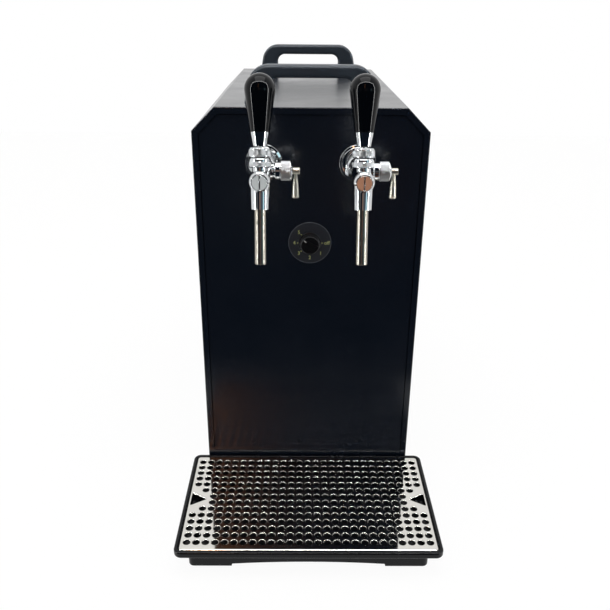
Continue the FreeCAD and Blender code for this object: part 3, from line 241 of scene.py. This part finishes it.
# Injection-moulded black knob, dull from handling
def knobPlastic():
    material, tree, shader, place = startMaterial("dullBlackKnobPlastic", "#07080b", 0.0, 0.38,
                                                  **{"Specular IOR Level": 0.3})
    handled = grain(tree, place, 3, detail=3)
    link(tree, twoTones(tree, handled, "#06070a", "#0b0c10"), shader, "Base Color")
    link(tree, spread(tree, handled, 0.32, 0.46), shader, "Roughness")
    return material


# Screen-printed charcoal plate, matt
def dialFoil():
    material, tree, shader, place = startMaterial("mattCharcoalFoil", "#1a1e27", 0.0, 0.5)
    speck = grain(tree, place, 0.5, detail=2)
    link(tree, twoTones(tree, speck, "#171b24", "#1d222b"), shader, "Base Color")
    link(tree, spread(tree, speck, 0.48, 0.62), shader, "Roughness")
    relief(tree, shader, speck, 0.01)
    return material


# Screen ink, olive yellow, a little thin where the squeegee passed
def dialInk():
    material, tree, shader, place = startMaterial("oliveScreenInk", "#c4c77a", 0.0, 0.5)
    thin = grain(tree, place, 0.6, detail=2)
    link(tree, twoTones(tree, thin, "#b0b468", "#d0d488"), shader, "Base Color")
    return material


# Ring round the dial foil's rim, painted light grey as a highlight along its edge
def rimHighlightPaint():
    material, tree, shader, place = startMaterial("paintedRimHighlight", "#5d6068", 0.0, 0.4)
    highlightMottle = grain(tree, place, 2, detail=3)
    link(tree, twoTones(tree, highlightMottle, "#474a52", "#6d7078"), shader, "Base Color")
    return material


# Paper-white paint pressed into the knob's pointer line
def pointerPaint():
    material, tree, shader, place = startMaterial("whitePointerPaint", "#c9c9c6", 0.0, 0.45)
    worn = grain(tree, place, 0.7, detail=3)
    link(tree, twoTones(tree, worn, "#b4b4b2", "#d6d6d3"), shader, "Base Color")
    return material


# Soft black rubber with a dusty bloom
def footRubber():
    material, tree, shader, place = startMaterial("blackNitrileRubber", "#141414", 0.0, 0.75)
    bloom = grain(tree, place, 4, detail=4)
    link(tree, twoTones(tree, bloom, "#101010", "#1d1d1c"), shader, "Base Color")
    relief(tree, shader, bloom, 0.03)
    return material


# Bright zinc plate on steel: bluish, with crystal mottling
def zincPlate():
    material, tree, shader, place = startMaterial("brightZincPlate", "#b9bfc6", 1.0, 0.28)
    crystal = grain(tree, place, 1.5, detail=3)
    link(tree, twoTones(tree, crystal, "#adb3bb", "#c5cad0"), shader, "Base Color")
    link(tree, spread(tree, crystal, 0.22, 0.36), shader, "Roughness")
    return material


# Drawn copper, partly dulled to brown
def drawnCopper():
    material, tree, shader, place = startMaterial("drawnCopper", "#c07a55", 1.0, 0.3)
    tarnish = grain(tree, place, 9, detail=4)
    link(tree, twoTones(tree, tarnish, "#9c5b3c", "#cf8a63"), shader, "Base Color")
    link(tree, spread(tree, tarnish, 0.24, 0.42), shader, "Roughness")
    return material


# Sand-cast aluminium with its pebbled skin
def castAluminium():
    material, tree, shader, place = startMaterial("castAluminium", "#a9abad", 1.0, 0.45)
    skin = grain(tree, place, 1.2, detail=4)
    link(tree, twoTones(tree, skin, "#9a9c9e", "#b7b9bb"), shader, "Base Color")
    link(tree, spread(tree, skin, 0.38, 0.55), shader, "Roughness")
    relief(tree, shader, skin, 0.05)
    return material


# Black stoving enamel on a pressed steel can
def blackEnamel():
    material, tree, shader, place = startMaterial("blackStovingEnamel", "#0d0d0e", 0.0, 0.18)
    sag = grain(tree, place, 14, detail=2)
    link(tree, twoTones(tree, sag, "#0b0b0c", "#131314"), shader, "Base Color")
    link(tree, spread(tree, sag, 0.14, 0.24), shader, "Roughness")
    relief(tree, shader, sag, 0.02)
    return material


# Rigid polyurethane foam, cream, with cells about a millimetre across
def rigidFoam():
    material, tree, shader, place = startMaterial("rigidPolyurethaneFoam", "#d9cfa8", 0.0, 0.9)
    cells = addNode(tree, "ShaderNodeTexVoronoi", {
        "Vector": place, "Scale": 1 / (1.2 * mm)}).outputs["Distance"]
    link(tree, twoTones(tree, cells, "#c4b88c", "#e2d9b6"), shader, "Base Color")
    relief(tree, shader, cells, 0.15)
    return material


# Grey acetal, machined: silky and slightly mottled
def greyAcetal():
    material, tree, shader, place = startMaterial("greyAcetal", "#8f9294", 0.0, 0.35)
    turnedMarks = grain(tree, place, 0.6, detail=2, stretch=(1, 3, 1))
    link(tree, twoTones(tree, turnedMarks, "#868a8c", "#989b9d"), shader, "Base Color")
    relief(tree, shader, turnedMarks, 0.01)
    return material


# Laminated iron motor, dark painted with rust bloom at the laminations
def motorIron():
    material, tree, shader, place = startMaterial("varnishedMotorIron", "#2b2724", 0.3, 0.5)
    sheets = grain(tree, place, 0.7, detail=1, stretch=(0.1, 1, 0.1))
    link(tree, twoTones(tree, sheets, "#211e1c", "#3a332e"), shader, "Base Color")
    relief(tree, shader, sheets, 0.08)
    return material


finishes = {
    "black_powder_coat": powderCoat(), "polished_chrome": chromePlate(), "satin_chrome": satinNickel(),
    "stainless": spoutSteel(), "zinc_steel": zincPlate(), "black_gloss": phenolic(),
    "black_nylon": mouldedNylon(), "grey_dial": dialFoil(), "grey_acetal": greyAcetal(),
    "black_rubber": footRubber(), "insulation_foam": rigidFoam(), "cast_aluminium": castAluminium(),
    "compressor_shell": blackEnamel(), "motor_iron": motorIron(), "copper": drawnCopper(),
    "black_abs": trayPlastic(),
}
special = {"thermostat_knob": knobPlastic(), "drip_tray": finishes["black_abs"]}
slotOf = {row["node"]: row["material_slot"] for row in frame["record"]["subparts"]}
bodyOf = {node: body for body, held in frame["record"]["behaviour"]["bodies"].items() for node in held}
for name, item in nodes.items():
    finish = special.get(name, finishes[slotOf[name]])
    item.data.materials.clear()
    item.data.materials.append(finish)
print("finishes made:", len(finishes))


# Puts points, faces and one normal for each point into a new piece
def addSurface(name, points, faces, normals, material):
    mesh = bpy.data.meshes.new(name)
    mesh.from_pydata((points * mm).tolist(), [], faces)
    mesh.polygons.foreach_set("use_smooth", np.ones(len(mesh.polygons), bool))
    mesh.normals_split_custom_set_from_vertices(normals.tolist())
    mesh.materials.append(material)
    piece = bpy.data.objects.new(name, mesh)
    scene.collection.objects.link(piece)
    return piece


# Rounding of a run: turns below this many radians stay one corner, and a round takes this share of a side
rounding = {"gentle": 0.2, "share": 0.45}


# A run of corners with every corner rounded: its points, and the normals on the right of the way along it
def roundedRun(corners, radius, steps=4, closed=False):
    corners = np.array(corners, float)
    count = len(corners)
    points, normals = [], []
    for i, corner in enumerate(corners):
        back = corner - corners[i - 1]
        ahead = corners[(i + 1) % count] - corner
        if not closed and i in (0, count - 1):
            back = ahead = ahead if i == 0 else back
        lengths = np.hypot(*back), np.hypot(*ahead)
        back, ahead = back / lengths[0], ahead / lengths[1]
        first, last = np.array((back[1], -back[0])), np.array((ahead[1], -ahead[0]))
        turn = math.atan2(back[0] * ahead[1] - back[1] * ahead[0], back @ ahead)
        if abs(turn) < rounding["gentle"]:
            mean = first + last
            points.append(corner)
            normals.append(mean / np.hypot(*mean))
            continue
        trim = min(radius * math.tan(abs(turn) / 2), rounding["share"] * lengths[0],
                   rounding["share"] * lengths[1])
        arc = trim / math.tan(turn / 2)
        centre = corner - back * trim - first * arc
        share = np.linspace(0, turn, steps + 1)[:, None]
        normal = first * np.cos(share) + back * np.sin(share)
        points.extend(centre + arc * normal)
        normals.extend(normal)
    return np.array(points), np.array(normals)


# Quads between neighbouring rings of points, each ring as long as the others
def ringQuads(rings, around, start=0, closed=True, flip=False):
    low = np.arange(rings - 1)[:, None] * around + start
    here = np.arange(around if closed else around - 1)
    there = (here + 1) % around
    corners = (low + here, low + there, low + around + there, low + around + here)
    quads = np.stack(corners, -1).reshape(-1, 4)
    return (quads[:, ::-1] if flip else quads).tolist()


# Straight knurl, in millimetres: depth, teeth and mesh steps round the piece, the run over which it fades
# in at each end of its band, and how squarely a surface has to face outwards to take it
knurling = {"depth": 0.16, "teeth": 84, "around": 504, "fade": 0.4, "facing": 0.9}


# Turned piece: P = O + r cos(a) u + r sin(a) v + h w. Within its band a knurl takes
# r - d (1 + cos(n a)) / 2.
def addTurned(name, at, axis, corners, radius, material, around=96, knurl=None, rough=None):
    run, runNormals = roundedRun(corners, radius)
    angle = np.linspace(0, 2 * math.pi, around, endpoint=False)
    reach = np.repeat(run[:, :1], around, 1)
    slope = np.zeros_like(reach)
    if knurl:
        low, high, depth, teeth = knurl
        inside = np.minimum(run[:, 1] - low, high - run[:, 1])
        band = np.clip(inside / knurling["fade"], 0, 1) * (runNormals[:, 0] > knurling["facing"])
        reach = reach - band[:, None] * depth * (1 + np.cos(teeth * angle)) / 2
        slope = band[:, None] * depth * teeth * np.sin(teeth * angle) / 2 / reach
    w = np.array(axis, float)
    u = np.cross((0.0, 0.0, 1.0) if abs(w[2]) < 0.7 else (0.0, 1.0, 0.0), w)
    u /= np.linalg.norm(u)
    v = np.cross(w, u)
    outward = np.cos(angle)[:, None] * u + np.sin(angle)[:, None] * v
    sideways = np.cos(angle)[:, None] * v - np.sin(angle)[:, None] * u
    points = np.array(at) + reach[..., None] * outward + run[:, 1][:, None, None] * w
    normals = runNormals[:, 0][:, None, None] * (outward - slope[..., None] * sideways)
    normals = normals + runNormals[:, 1][:, None, None] * w
    normals /= np.linalg.norm(normals, axis=-1, keepdims=True)
    piece = addSurface(name, points.reshape(-1, 3), ringQuads(len(run), around), normals.reshape(-1, 3),
                       material)
    if rough:
        piece.data.materials.append(rough)
        piece.data.polygons.foreach_set("material_index", np.repeat((band[:-1] + band[1:] > 0) * 1, around))
    return piece


# Drip grate: mirror plate with rounded hole rims and a bent edge, in millimetres
grate = {
    "thick": 1.0, "skirt": 3.5, "corner": 5.2, "bend": 2.5, "rim": 0.7, "lip": 1.6,
    "hole": 5.0, "across": 13.0, "deep": 14.0, "columns": 27, "rows": 14, "firstRow": -196.65,
    "skipped": {5: 1, 6: 2, 7: 2, 8: 1}, "fingerBase": 175.3, "fingerTip": 152.5, "fingerHalf": 14.0,
    "fingerLevel": -287.5, "fingerRound": 1.0, "sides": 32, "steps": 4, "cornerSteps": 8, "tolerance": 1e-5,
}


def makeGrate():
    low, high = (np.array(corner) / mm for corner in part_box("drip_grate"))
    angle = np.linspace(0, 2 * math.pi, grate["sides"], endpoint=False)
    circle = np.stack((np.cos(angle), np.sin(angle)), -1)
    loops = []
    for row in range(grate["rows"]):
        skip = grate["skipped"].get(row, 0)
        for column in range(skip, grate["columns"] - skip):
            centre = ((column - (grate["columns"] - 1) / 2) * grate["across"],
                      grate["firstRow"] - row * grate["deep"])
            loops.append((np.array(centre) + grate["hole"] * circle, circle, 1))
    level, half = grate["fingerLevel"], grate["fingerHalf"]
    for side in (-1, 1):
        base = side * grate["fingerBase"]
        tip = side * grate["fingerTip"]
        corners = [(base, level - side * half), (base, level + side * half), (tip, level)]
        loops.append((*roundedRun(corners, grate["fingerRound"], closed=True), 1))
    edge = [(low[0], low[1]), (high[0], low[1]), (high[0], high[1]), (low[0], high[1])]
    loops.append((*roundedRun(edge, grate["corner"], grate["cornerSteps"], closed=True), -1))

    points, normals, faces, flat, under, owner = [], [], [], [], [], []
    count = 0
    # rim: p = w + s n R (1 - sin t), z = top - R (1 - cos t), normal (-s n sin t, cos t)
    for number, (wall, away, sign) in enumerate(loops):
        around = len(wall)
        radius = grate["rim"] if sign > 0 else grate["bend"]
        floor = grate["thick"] if sign > 0 else grate["skirt"]
        turns = [(t, 0.0) for t in np.linspace(0, math.pi / 2, grate["steps"] + 1)]
        turns.append((math.pi / 2, floor - radius))
        for t, drop in turns:
            flatPart = wall + sign * away * radius * (1 - math.sin(t))
            height = high[2] - radius * (1 - math.cos(t)) - drop
            points.append(np.column_stack((flatPart, np.full(around, height))))
            normals.append(np.column_stack((-sign * away * math.sin(t), np.full(around, math.cos(t)))))
        faces += ringQuads(len(turns), around, count, flip=sign < 0)
        count += len(turns) * around
        # the flat top has corners of its own, so that it mirrors as a plane
        points.append(points[-len(turns)])
        normals.append(np.tile((0.0, 0.0, 1.0), (around, 1)))
        flat.append(np.arange(around) + count)
        owner += [number] * around
        count += around
        # lip underside and its inner wall, on the outer edge only
        inner = wall if sign > 0 else wall - away * grate["lip"]
        if sign < 0:
            bottom = np.full(around, high[2] - floor)
            points += [np.column_stack((wall, bottom)), np.column_stack((inner, bottom))]
            normals += [np.tile((0.0, 0.0, -1.0), (around, 1))] * 2
            faces += ringQuads(2, around, count, flip=True)
            top = bottom + floor - grate["thick"]
            points += [np.column_stack((inner, bottom)), np.column_stack((inner, top))]
            normals += [np.column_stack((-away, np.zeros(around)))] * 2
            faces += ringQuads(2, around, count + 2 * around, flip=True)
            count += 4 * around
        under.append(np.arange(around) + count)
        points.append(np.column_stack((inner, np.full(around, high[2] - grate["thick"]))))
        normals.append(np.tile((0.0, 0.0, -1.0), (around, 1)))
        count += around
    points, normals = np.concatenate(points), np.concatenate(normals)
    flat, under, owner = np.concatenate(flat), np.concatenate(under), np.array(owner)
    # one triangulation serves both sides of the plate: a triangle with all corners on one hole is that hole
    parted = np.split(np.arange(len(owner)), np.flatnonzero(np.diff(owner)) + 1)
    ends = np.concatenate([np.roll(loop, -1) for loop in parted])
    edges = np.column_stack((np.arange(len(owner)), ends)).tolist()
    spots = [Vector(p) for p in points[flat][:, :2].tolist()]
    made = geometry.delaunay_2d_cdt(spots, edges, [], 0, grate["tolerance"])
    source = np.array([ids[0] for ids in made[3]])
    triangles = source[np.array(made[2])]
    holes = owner[triangles]
    oneLoop = (holes[:, 0] == holes[:, 1]) & (holes[:, 1] == holes[:, 2])
    inHole = oneLoop & (holes[:, 0] < len(loops) - 1)
    triangles = triangles[~inHole]
    faces += flat[triangles].tolist() + under[triangles[:, ::-1]].tolist()
    piece = addSurface("gratePlate", points, faces, normals, mirrorSheet())
    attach(piece, "drip_grate")
    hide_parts("drip_grate")
    print("grate made:", len(faces), "faces,", len(loops) - 3, "holes")


makeGrate()

# Folded border: the paint rounds the edge of the sheet, and that edge catches the side lights
border = {"half": 153.0, "top": 587.5, "chamfer": 26.43, "low": 47.2, "face": -173.6, "bead": 0.5, "steps": 9}


# Half-round bead along the border's inner edge. On a straight run with inward normal n,
# P = w + r cos(t) n - r sin(t) y, and the runs meet in mitres.
def makeBorderBead():
    half, top, chamfer, low = (border[word] for word in ("half", "top", "chamfer", "low"))
    path = np.array([(-half, low), (-half, top - chamfer), (-half + chamfer, top),
                     (half - chamfer, top), (half, top - chamfer), (half, low)])
    along = np.diff(path, axis=0)
    along /= np.hypot(along[:, 0], along[:, 1])[:, None]
    inward = np.column_stack((along[:, 1], -along[:, 0]))
    before = np.vstack((inward[:1], inward))
    after = np.vstack((inward, inward[-1:]))
    mitre = (before + after) / (1 + np.sum(before * after, axis=1))[:, None]
    t = np.linspace(0, math.pi, border["steps"])
    points, normals, faces = [], [], []
    for run, away in enumerate(inward):
        for end in (run, run + 1):
            reach = border["bead"] * np.cos(t)[:, None] * mitre[end]
            points.append(np.column_stack((path[end][0] + reach[:, 0],
                                           border["face"] - border["bead"] * np.sin(t),
                                           path[end][1] + reach[:, 1])))
            normals.append(np.column_stack((away[0] * np.cos(t), -np.sin(t), away[1] * np.cos(t))))
        faces += ringQuads(2, border["steps"], 2 * run * border["steps"], closed=False)
    piece = addSurface("borderEdge", np.concatenate(points), faces, np.concatenate(normals),
                       finishes["black_powder_coat"])
    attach(piece, "cabinet")


makeBorderBead()

# Taps: where each axis lies in the CAD model, in millimetres
tap = {
    "spread": 64.5, "level": 523.0, "face": -174.0, "reach": 94.0, "flowReach": 49.0, "hubOut": 16.0,
    "tilt": 12.0, "nutRise": 26.2, "sleeveRise": 14.9, "capOut": 11, "ringOut": 6, "washerRise": 24.6,
}
# Outlines of the turned chrome pieces, as radius and height, with the band that is knurled
trim = {
    "upperNut": ([
        (6.9, 2), (6.9, 0), (12.8, 0), (14, 1.2), (14, 1.7), (14, 2.1), (14, 8.5), (14, 8.9), (14, 9.7),
        (12.9, 11.8), (12.2, 11.8), (10.5, 9.6), (6.7, 9.6), (7.4, 8), (7.4, 3), (6.9, 2)], 0.3, (1.7, 8.9)),
    "lowerNutKnurl": ([
        (13.3, 0.2), (13.6, 0.2), (13.75, 0.4), (13.75, 0.9), (13.75, 5.2), (13.75, 5.7), (13.6, 6),
        (13.3, 6)], 0.1, (0.3, 5.8)),
    "frontCap": ([
        (8.9, -4), (8.9, 0.1), (12.75, 0.1), (12.75, 1.2), (12.75, 1.6), (12.75, 5.2), (12.75, 5.6),
        (12.75, 6.8), (10.65, 9), (10.3, 9), (10.1, 8.0), (9.85, 8.0)], 0.35, (1.2, 5.6)),
    "couplingRing": ([
        (11.1, 1.5), (11.1, 0), (14.6, 0), (15.6, 1), (15.6, 1.8), (15.6, 2.2), (15.6, 14.4), (15.6, 14.8),
        (15.6, 16), (14.2, 17.6), (13.7, 18.2), (12.9, 18.2), (12.9, 15.4), (11.1, 15.4)], 0.3, (1.8, 14.8)),
    "flowHousing": ([
        (4.42, 0), (10.6, 0), (12.2, 1.6), (12.2, 7.6), (12.8, 8.1), (12.8, 8.9), (12.8, 9.4), (12.8, 20.6),
        (12.8, 21.1), (12.8, 21.7), (12.0, 22.4), (9, 24.2), (4.42, 24.2), (4.42, 23)], 0.4, (9.0, 21.0)),
}
washerOutline = [(9.5, 0), (12.5, 0), (12.5, 1.5), (9.5, 1.5)]
headAxis = (0.0, math.sin(math.radians(tap["tilt"])), math.cos(math.radians(tap["tilt"])))


# A piece that stands for a CAD node, on that node's body
def standFor(piece, node):
    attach(piece, bodyOf[node])
    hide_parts(node)


# A chrome piece with a knurled band, turned from its outline above
def addKnurled(kind, name, at, axis):
    corners, radius, (low, high) = trim[kind]
    band = (low, high, knurling["depth"], knurling["teeth"])
    return addTurned(f"{kind}_{name}", at, axis, corners, radius, finishes["polished_chrome"],
                     knurling["around"], band, knurled)


def makeTapTrim(name, side):
    forward = (0, -1, 0)
    across = side * tap["spread"]
    crossing = np.array((across, tap["face"] - tap["reach"], tap["level"]))

    def onHead(rise):
        return crossing + rise * np.array(headAxis)

    # upper nut with a bowl in its mouth
    standFor(addKnurled("upperNut", name, onHead(tap["nutRise"]), headAxis), f"upper_nut_{name}")
    # knurled sleeve on the lower nut, a hair proud of it
    sleeve = addKnurled("lowerNutKnurl", name, onHead(tap["sleeveRise"]), headAxis)
    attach(sleeve, bodyOf[f"tap_body_{name}"])
    # front cap: a ring rounded at its mouth round a slotted disc
    capAt = crossing - (0, tap["capOut"], 0)
    standFor(addKnurled("frontCap", name, capAt, forward), f"front_cap_{name}")
    makeCapDisc(name, capAt, finishes["polished_chrome"])
    # coupling ring behind the head
    ringAt = (across, tap["face"] - tap["ringOut"], tap["level"])
    standFor(addKnurled("couplingRing", name, ringAt, forward), f"coupling_ring_{name}")
    # rubber washer in the gap between the two nuts
    washer = addTurned(f"nutWasher_{name}", onHead(tap["washerRise"]), headAxis, washerOutline, 0.3,
                       finishes["black_rubber"])
    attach(washer, bodyOf[f"tap_body_{name}"])
    # flow housing: polished collar, knurled grip and a cone down to the spindle
    flowAt = np.array((across + tap["hubOut"], tap["face"] - tap["flowReach"], tap["level"]))
    standFor(addKnurled("flowHousing", name, flowAt, (1, 0, 0)), f"flow_housing_{name}")


# Slotted disc of the front cap: two halves of a round plate. A rounded edge of radius R at the outline w is
# p = w - n R (1 - sin t), height = top - R (1 - cos t), normal (n sin t, cos t).
capDisc = {"radius": 9.6, "slot": 0.6, "proud": 11.0, "edge": 0.3, "drop": 2.6, "steps": 4, "around": 40}


def makeCapDisc(name, at, material):
    radius, slot, proud, edge = (capDisc[word] for word in ("radius", "slot", "proud", "edge"))
    turns = [(t, 0.0) for t in np.linspace(0, math.pi / 2, capDisc["steps"])]
    turns.append((math.pi / 2, capDisc["drop"]))
    points, normals, faces = [], [], []
    start = 0
    for side in (-1, 1):
        half = math.pi / 2 - math.asin(slot / radius)
        angle = side * np.linspace(-half, half, capDisc["around"])
        outline = np.column_stack((side * radius * np.cos(angle), radius * np.sin(angle)))
        loop, away = roundedRun(outline, edge, 2, closed=True)
        around = len(loop)
        for t, drop in turns:
            flatPart = loop - away * edge * (1 - math.sin(t))
            level = proud - edge * (1 - math.cos(t)) - drop
            points.append(np.column_stack((flatPart[:, 0], np.full(around, -level), flatPart[:, 1])))
            normals.append(np.column_stack((away[:, 0] * math.sin(t), np.full(around, -math.cos(t)),
                                            away[:, 1] * math.sin(t))))
        faces += ringQuads(len(turns), around, start, flip=True)
        start += len(turns) * around
        # the flat part has corners of its own, so that it mirrors as a plane
        points.append(points[-len(turns)])
        normals.append(np.tile((0.0, -1.0, 0.0), (around, 1)))
        faces.append(list(range(start, start + around)))
        start += around
    disc = addSurface(f"capDisc_{name}", np.concatenate(points) + at, faces, np.concatenate(normals),
                      material)
    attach(disc, bodyOf[f"front_cap_{name}"])


# Joins pieces into the first of them
def joined(name, parts):
    bpy.ops.object.select_all(action="DESELECT")
    for part in parts:
        part.select_set(True)
    bpy.context.view_layer.objects.active = parts[0]
    bpy.ops.object.join()
    parts[0].name = name
    return parts[0]


knurled = knurledChrome()
for tapName, tapSide in (("left", -1), ("right", 1)):
    makeTapTrim(tapName, tapSide)
print("taps trimmed")

# Printed dial: numbers on a circle round the knob, with a dot beside some
dial = {
    "letterTall": 5.6, "fontShare": 1.35, "dotRing": 17.6, "dotRadius": 0.8, "dotSides": 20, "thick": 0.08,
    "marks": (("off", 0, 24.6), ("1", -45, 22.4), ("2", -90, 22.4), ("3", -135, 22.4), ("4", 180, 22.4),
              ("5", 135, 22.4)),
    "dotted": (0, -135, 180, 135), "pointerAt": 137, "pointerEnd": 11.6, "pointerLong": 4.2,
    "pointerWide": 1.1, "pointerThick": 0.1,
    "edge": ((0.9, -0.1), (0.7, 0.0), (0.7, 0.05), (0.3, 0.05), (0.3, 0.0), (0.1, -0.1)), "edgeRound": 0.01,
}


def makeDialPrint():
    low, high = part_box("dial_plate")
    face = low.y
    middle = (low + high) / 2
    upright = Matrix.Rotation(math.pi / 2, 4, "X")
    parts = []

    # a place on the dial's face, that many degrees round and millimetres out
    def onDial(turn, out):
        angle = math.radians(turn)
        reach = out * mm
        return Matrix.Translation((middle.x + reach * math.cos(angle), face,
                                   middle.z + reach * math.sin(angle)))

    for word, turn, ring in dial["marks"]:
        text = bpy.data.curves.new("dialMark", "FONT")
        text.body = word
        text.size = dial["letterTall"] * mm * dial["fontShare"]
        text.align_x = "CENTER"
        text.align_y = "CENTER"
        text.extrude = dial["thick"] * mm / 2
        mesh = bpy.data.meshes.new_from_object(bpy.data.objects.new("dialMark", text))
        mesh.transform(onDial(turn, ring) @ upright)
        part = bpy.data.objects.new("dialMark", mesh)
        scene.collection.objects.link(part)
        parts.append(part)
    for turn in dial["dotted"]:
        bpy.ops.mesh.primitive_cylinder_add(
            vertices=dial["dotSides"], radius=dial["dotRadius"] * mm, depth=dial["thick"] * mm)
        part = bpy.context.object
        part.matrix_world = Matrix.Identity(4)
        part.data.transform(onDial(turn, dial["dotRing"]) @ upright)
        parts.append(part)
    piece = joined("dialPrint", parts)
    piece.data.materials.clear()
    piece.data.materials.append(dialInk())
    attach(piece, "cabinet")
    # painted highlight: a light grey ring along the plate's rim
    out = (high.x - low.x) / 2 / mm
    outline = [(out - inset, rise) for inset, rise in dial["edge"]]
    edge = addTurned("dialRimHighlightRing", (middle.x / mm, face / mm, middle.z / mm), (0, -1, 0), outline,
                     dial["edgeRound"], rimHighlightPaint())
    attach(edge, "cabinet")
    # painted pointer on the knob's wedge
    low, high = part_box("thermostat_knob")
    angle = math.radians(dial["pointerAt"])
    bpy.ops.mesh.primitive_cube_add(size=1)
    pointer = bpy.context.object
    pointer.name = "knobPointer"
    centre = (dial["pointerEnd"] - dial["pointerLong"] / 2) * mm
    pointer.data.transform(
        Matrix.Translation((middle.x + centre * math.cos(angle), low.y, middle.z + centre * math.sin(angle)))
        @ Matrix.Rotation(-angle, 4, "Y")
        @ Matrix.Diagonal((dial["pointerLong"] * mm, dial["pointerThick"] * mm, dial["pointerWide"] * mm, 1)))
    pointer.data.materials.append(pointerPaint())
    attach(pointer, bodyOf["thermostat_knob"])


makeDialPrint()
print("dial printed")

# Studio: white all round, a dark opening towards the camera edged with lamps, as in a light tent
studio = {
    "white": 1.0, "fill": 0.5, "dark": (0.006, 0.009, 0.015, 1.0),
    "openingHalf": 2.3, "openingTop": 1.95, "lampShare": 0.9, "lampGlow": 38.0,
    "floorHalf": 3.0, "floorFront": -0.47, "floorDrop": 0.0002, "floorShare": 0.9, "floorGlow": 1.05,
    "overhead": ((0.0, -0.2, 2.2), (0.0, 0.0, 0.3), (1.6, 1.2), 14), "least": 0.001,
}
# What stands in the opening, in the plane one metre in front: middle, half size and colour
seenThrough = (
    ((-0.87, 0.18), (0.27, 0.14), (0.14, 0.14, 0.14, 1.0)),
    ((-0.05, 0.18), (0.13, 0.14), (0.25, 0.17, 0.14, 1.0)),
    ((0.22, 0.18), (0.14, 0.14), (0.11, 0.11, 0.115, 1.0)),
    ((0.52, 0.18), (0.16, 0.14), (0.025, 0.045, 0.08, 1.0)),
    ((0.84, 0.18), (0.16, 0.14), (0.8, 1.2, 1.3, 1.0)),
    ((1.5, 0.18), (0.5, 0.14), (0.25, 0.26, 0.28, 1.0)),
    ((-0.16, 0.75), (0.03, 0.40), (4.0, 1.6, 0.6, 1.0)),
    ((-0.062, -0.25), (0.025, 0.025), (0.66, 0.68, 0.67, 1.0)),
    ((0.095, -0.25), (0.035, 0.025), (0.50, 0.24, 0.145, 1.0)),
    ((0.30, -1.3), (0.32, 0.45), (0.12, 0.06, 0.04, 1.0)),
)


def makeWorld():
    world = bpy.data.worlds.new("lightTent")
    scene.world = world
    world.use_nodes = True
    tree = world.node_tree
    tree.nodes.clear()
    way = addNode(tree, "ShaderNodeTexCoord").outputs["Generated"]
    x, y, z = addNode(tree, "ShaderNodeSeparateXYZ", {0: way}).outputs

    def maths(kind, first, second=0.0):
        return addNode(tree, "ShaderNodeMath", {0: first, 1: second}, operation=kind).outputs[0]

    least = studio["least"]
    towards = maths("MAXIMUM", maths("MULTIPLY", y, -1.0), least)
    across = maths("DIVIDE", x, towards)
    upward = maths("DIVIDE", z, towards)
    # over 1 inside the opening, and 1 at its edge
    sideways = maths("DIVIDE", studio["openingHalf"], maths("MAXIMUM", maths("ABSOLUTE", across), least))
    share = maths("MINIMUM", sideways, maths("DIVIDE", studio["openingTop"], maths("MAXIMUM", upward, least)))
    seen = blendColours(tree, maths("GREATER_THAN", share, studio["lampShare"]),
                        (studio["white"],) * 3 + (1.0,), (studio["lampGlow"],) * 3 + (1.0,))
    seen = blendColours(tree, maths("GREATER_THAN", share, 1.0), seen, studio["dark"])
    for middle, half, colour in seenThrough:
        offsets = [maths("DIVIDE", maths("ABSOLUTE", maths("SUBTRACT", way, at)), size)
                   for way, at, size in zip((across, upward), middle, half)]
        near = maths("LESS_THAN", maths("MAXIMUM", *offsets), 1.0)
        front = maths("MULTIPLY", near, maths("LESS_THAN", y, 0.0))
        seen = blendColours(tree, front, seen, colour)
    path = addNode(tree, "ShaderNodeLightPath")
    mirrored = maths("MAXIMUM", path.outputs["Is Glossy Ray"], path.outputs["Is Transmission Ray"])
    seen = blendColours(tree, mirrored, (studio["fill"],) * 3 + (1.0,), seen)
    seen = blendColours(tree, path.outputs["Is Camera Ray"], seen, (1.0, 1.0, 1.0, 1.0))
    light = addNode(tree, "ShaderNodeBackground", {"Color": seen})
    addNode(tree, "ShaderNodeOutputWorld", {"Surface": light.outputs[0]})


def makeFloor():
    half = studio["floorHalf"]
    front = studio["floorFront"]
    mesh = bpy.data.meshes.new("floor")
    corners = ((-half, front), (half, front), (half, half), (-half, half))
    mesh.from_pydata([(x, y, -studio["floorDrop"]) for x, y in corners], [], [(0, 1, 2, 3)])
    floor = bpy.data.objects.new("floor", mesh)
    scene.collection.objects.link(floor)
    material, tree, shader, _ = startMaterial("whitePaperFloor", "#e8e8e6", 0.0, 0.8)
    glow = addNode(tree, "ShaderNodeEmission", {"Color": (1, 1, 1, 1), "Strength": studio["floorGlow"]})
    path = addNode(tree, "ShaderNodeLightPath")
    seen = addNode(tree, "ShaderNodeMath", {
        0: path.outputs["Is Camera Ray"], 1: path.outputs["Is Glossy Ray"]}, operation="MAXIMUM")
    share = addNode(tree, "ShaderNodeMath", {
        0: seen.outputs[0], 1: studio["floorShare"]}, operation="MULTIPLY")
    mixed = addNode(tree, "ShaderNodeMixShader", {
        0: share.outputs[0], 1: shader.outputs[0], 2: glow.outputs[0]})
    output = next(node for node in tree.nodes if node.type == "OUTPUT_MATERIAL")
    tree.links.new(mixed.outputs[0], output.inputs["Surface"])
    mesh.materials.append(material)


def makeLamp(name, place, target, size, power):
    lamp = bpy.data.lights.new(name, "AREA")
    lamp.shape = "RECTANGLE"
    lamp.size, lamp.size_y = size
    lamp.energy = power
    holder = bpy.data.objects.new(name, lamp)
    aim = (Vector(target) - Vector(place)).to_track_quat("-Z", "Y")
    holder.matrix_world = Matrix.Translation(place) @ aim.to_matrix().to_4x4()
    scene.collection.objects.link(holder)


makeWorld()
makeFloor()
makeLamp("overheadBox", *studio["overhead"])
print("studio lit")
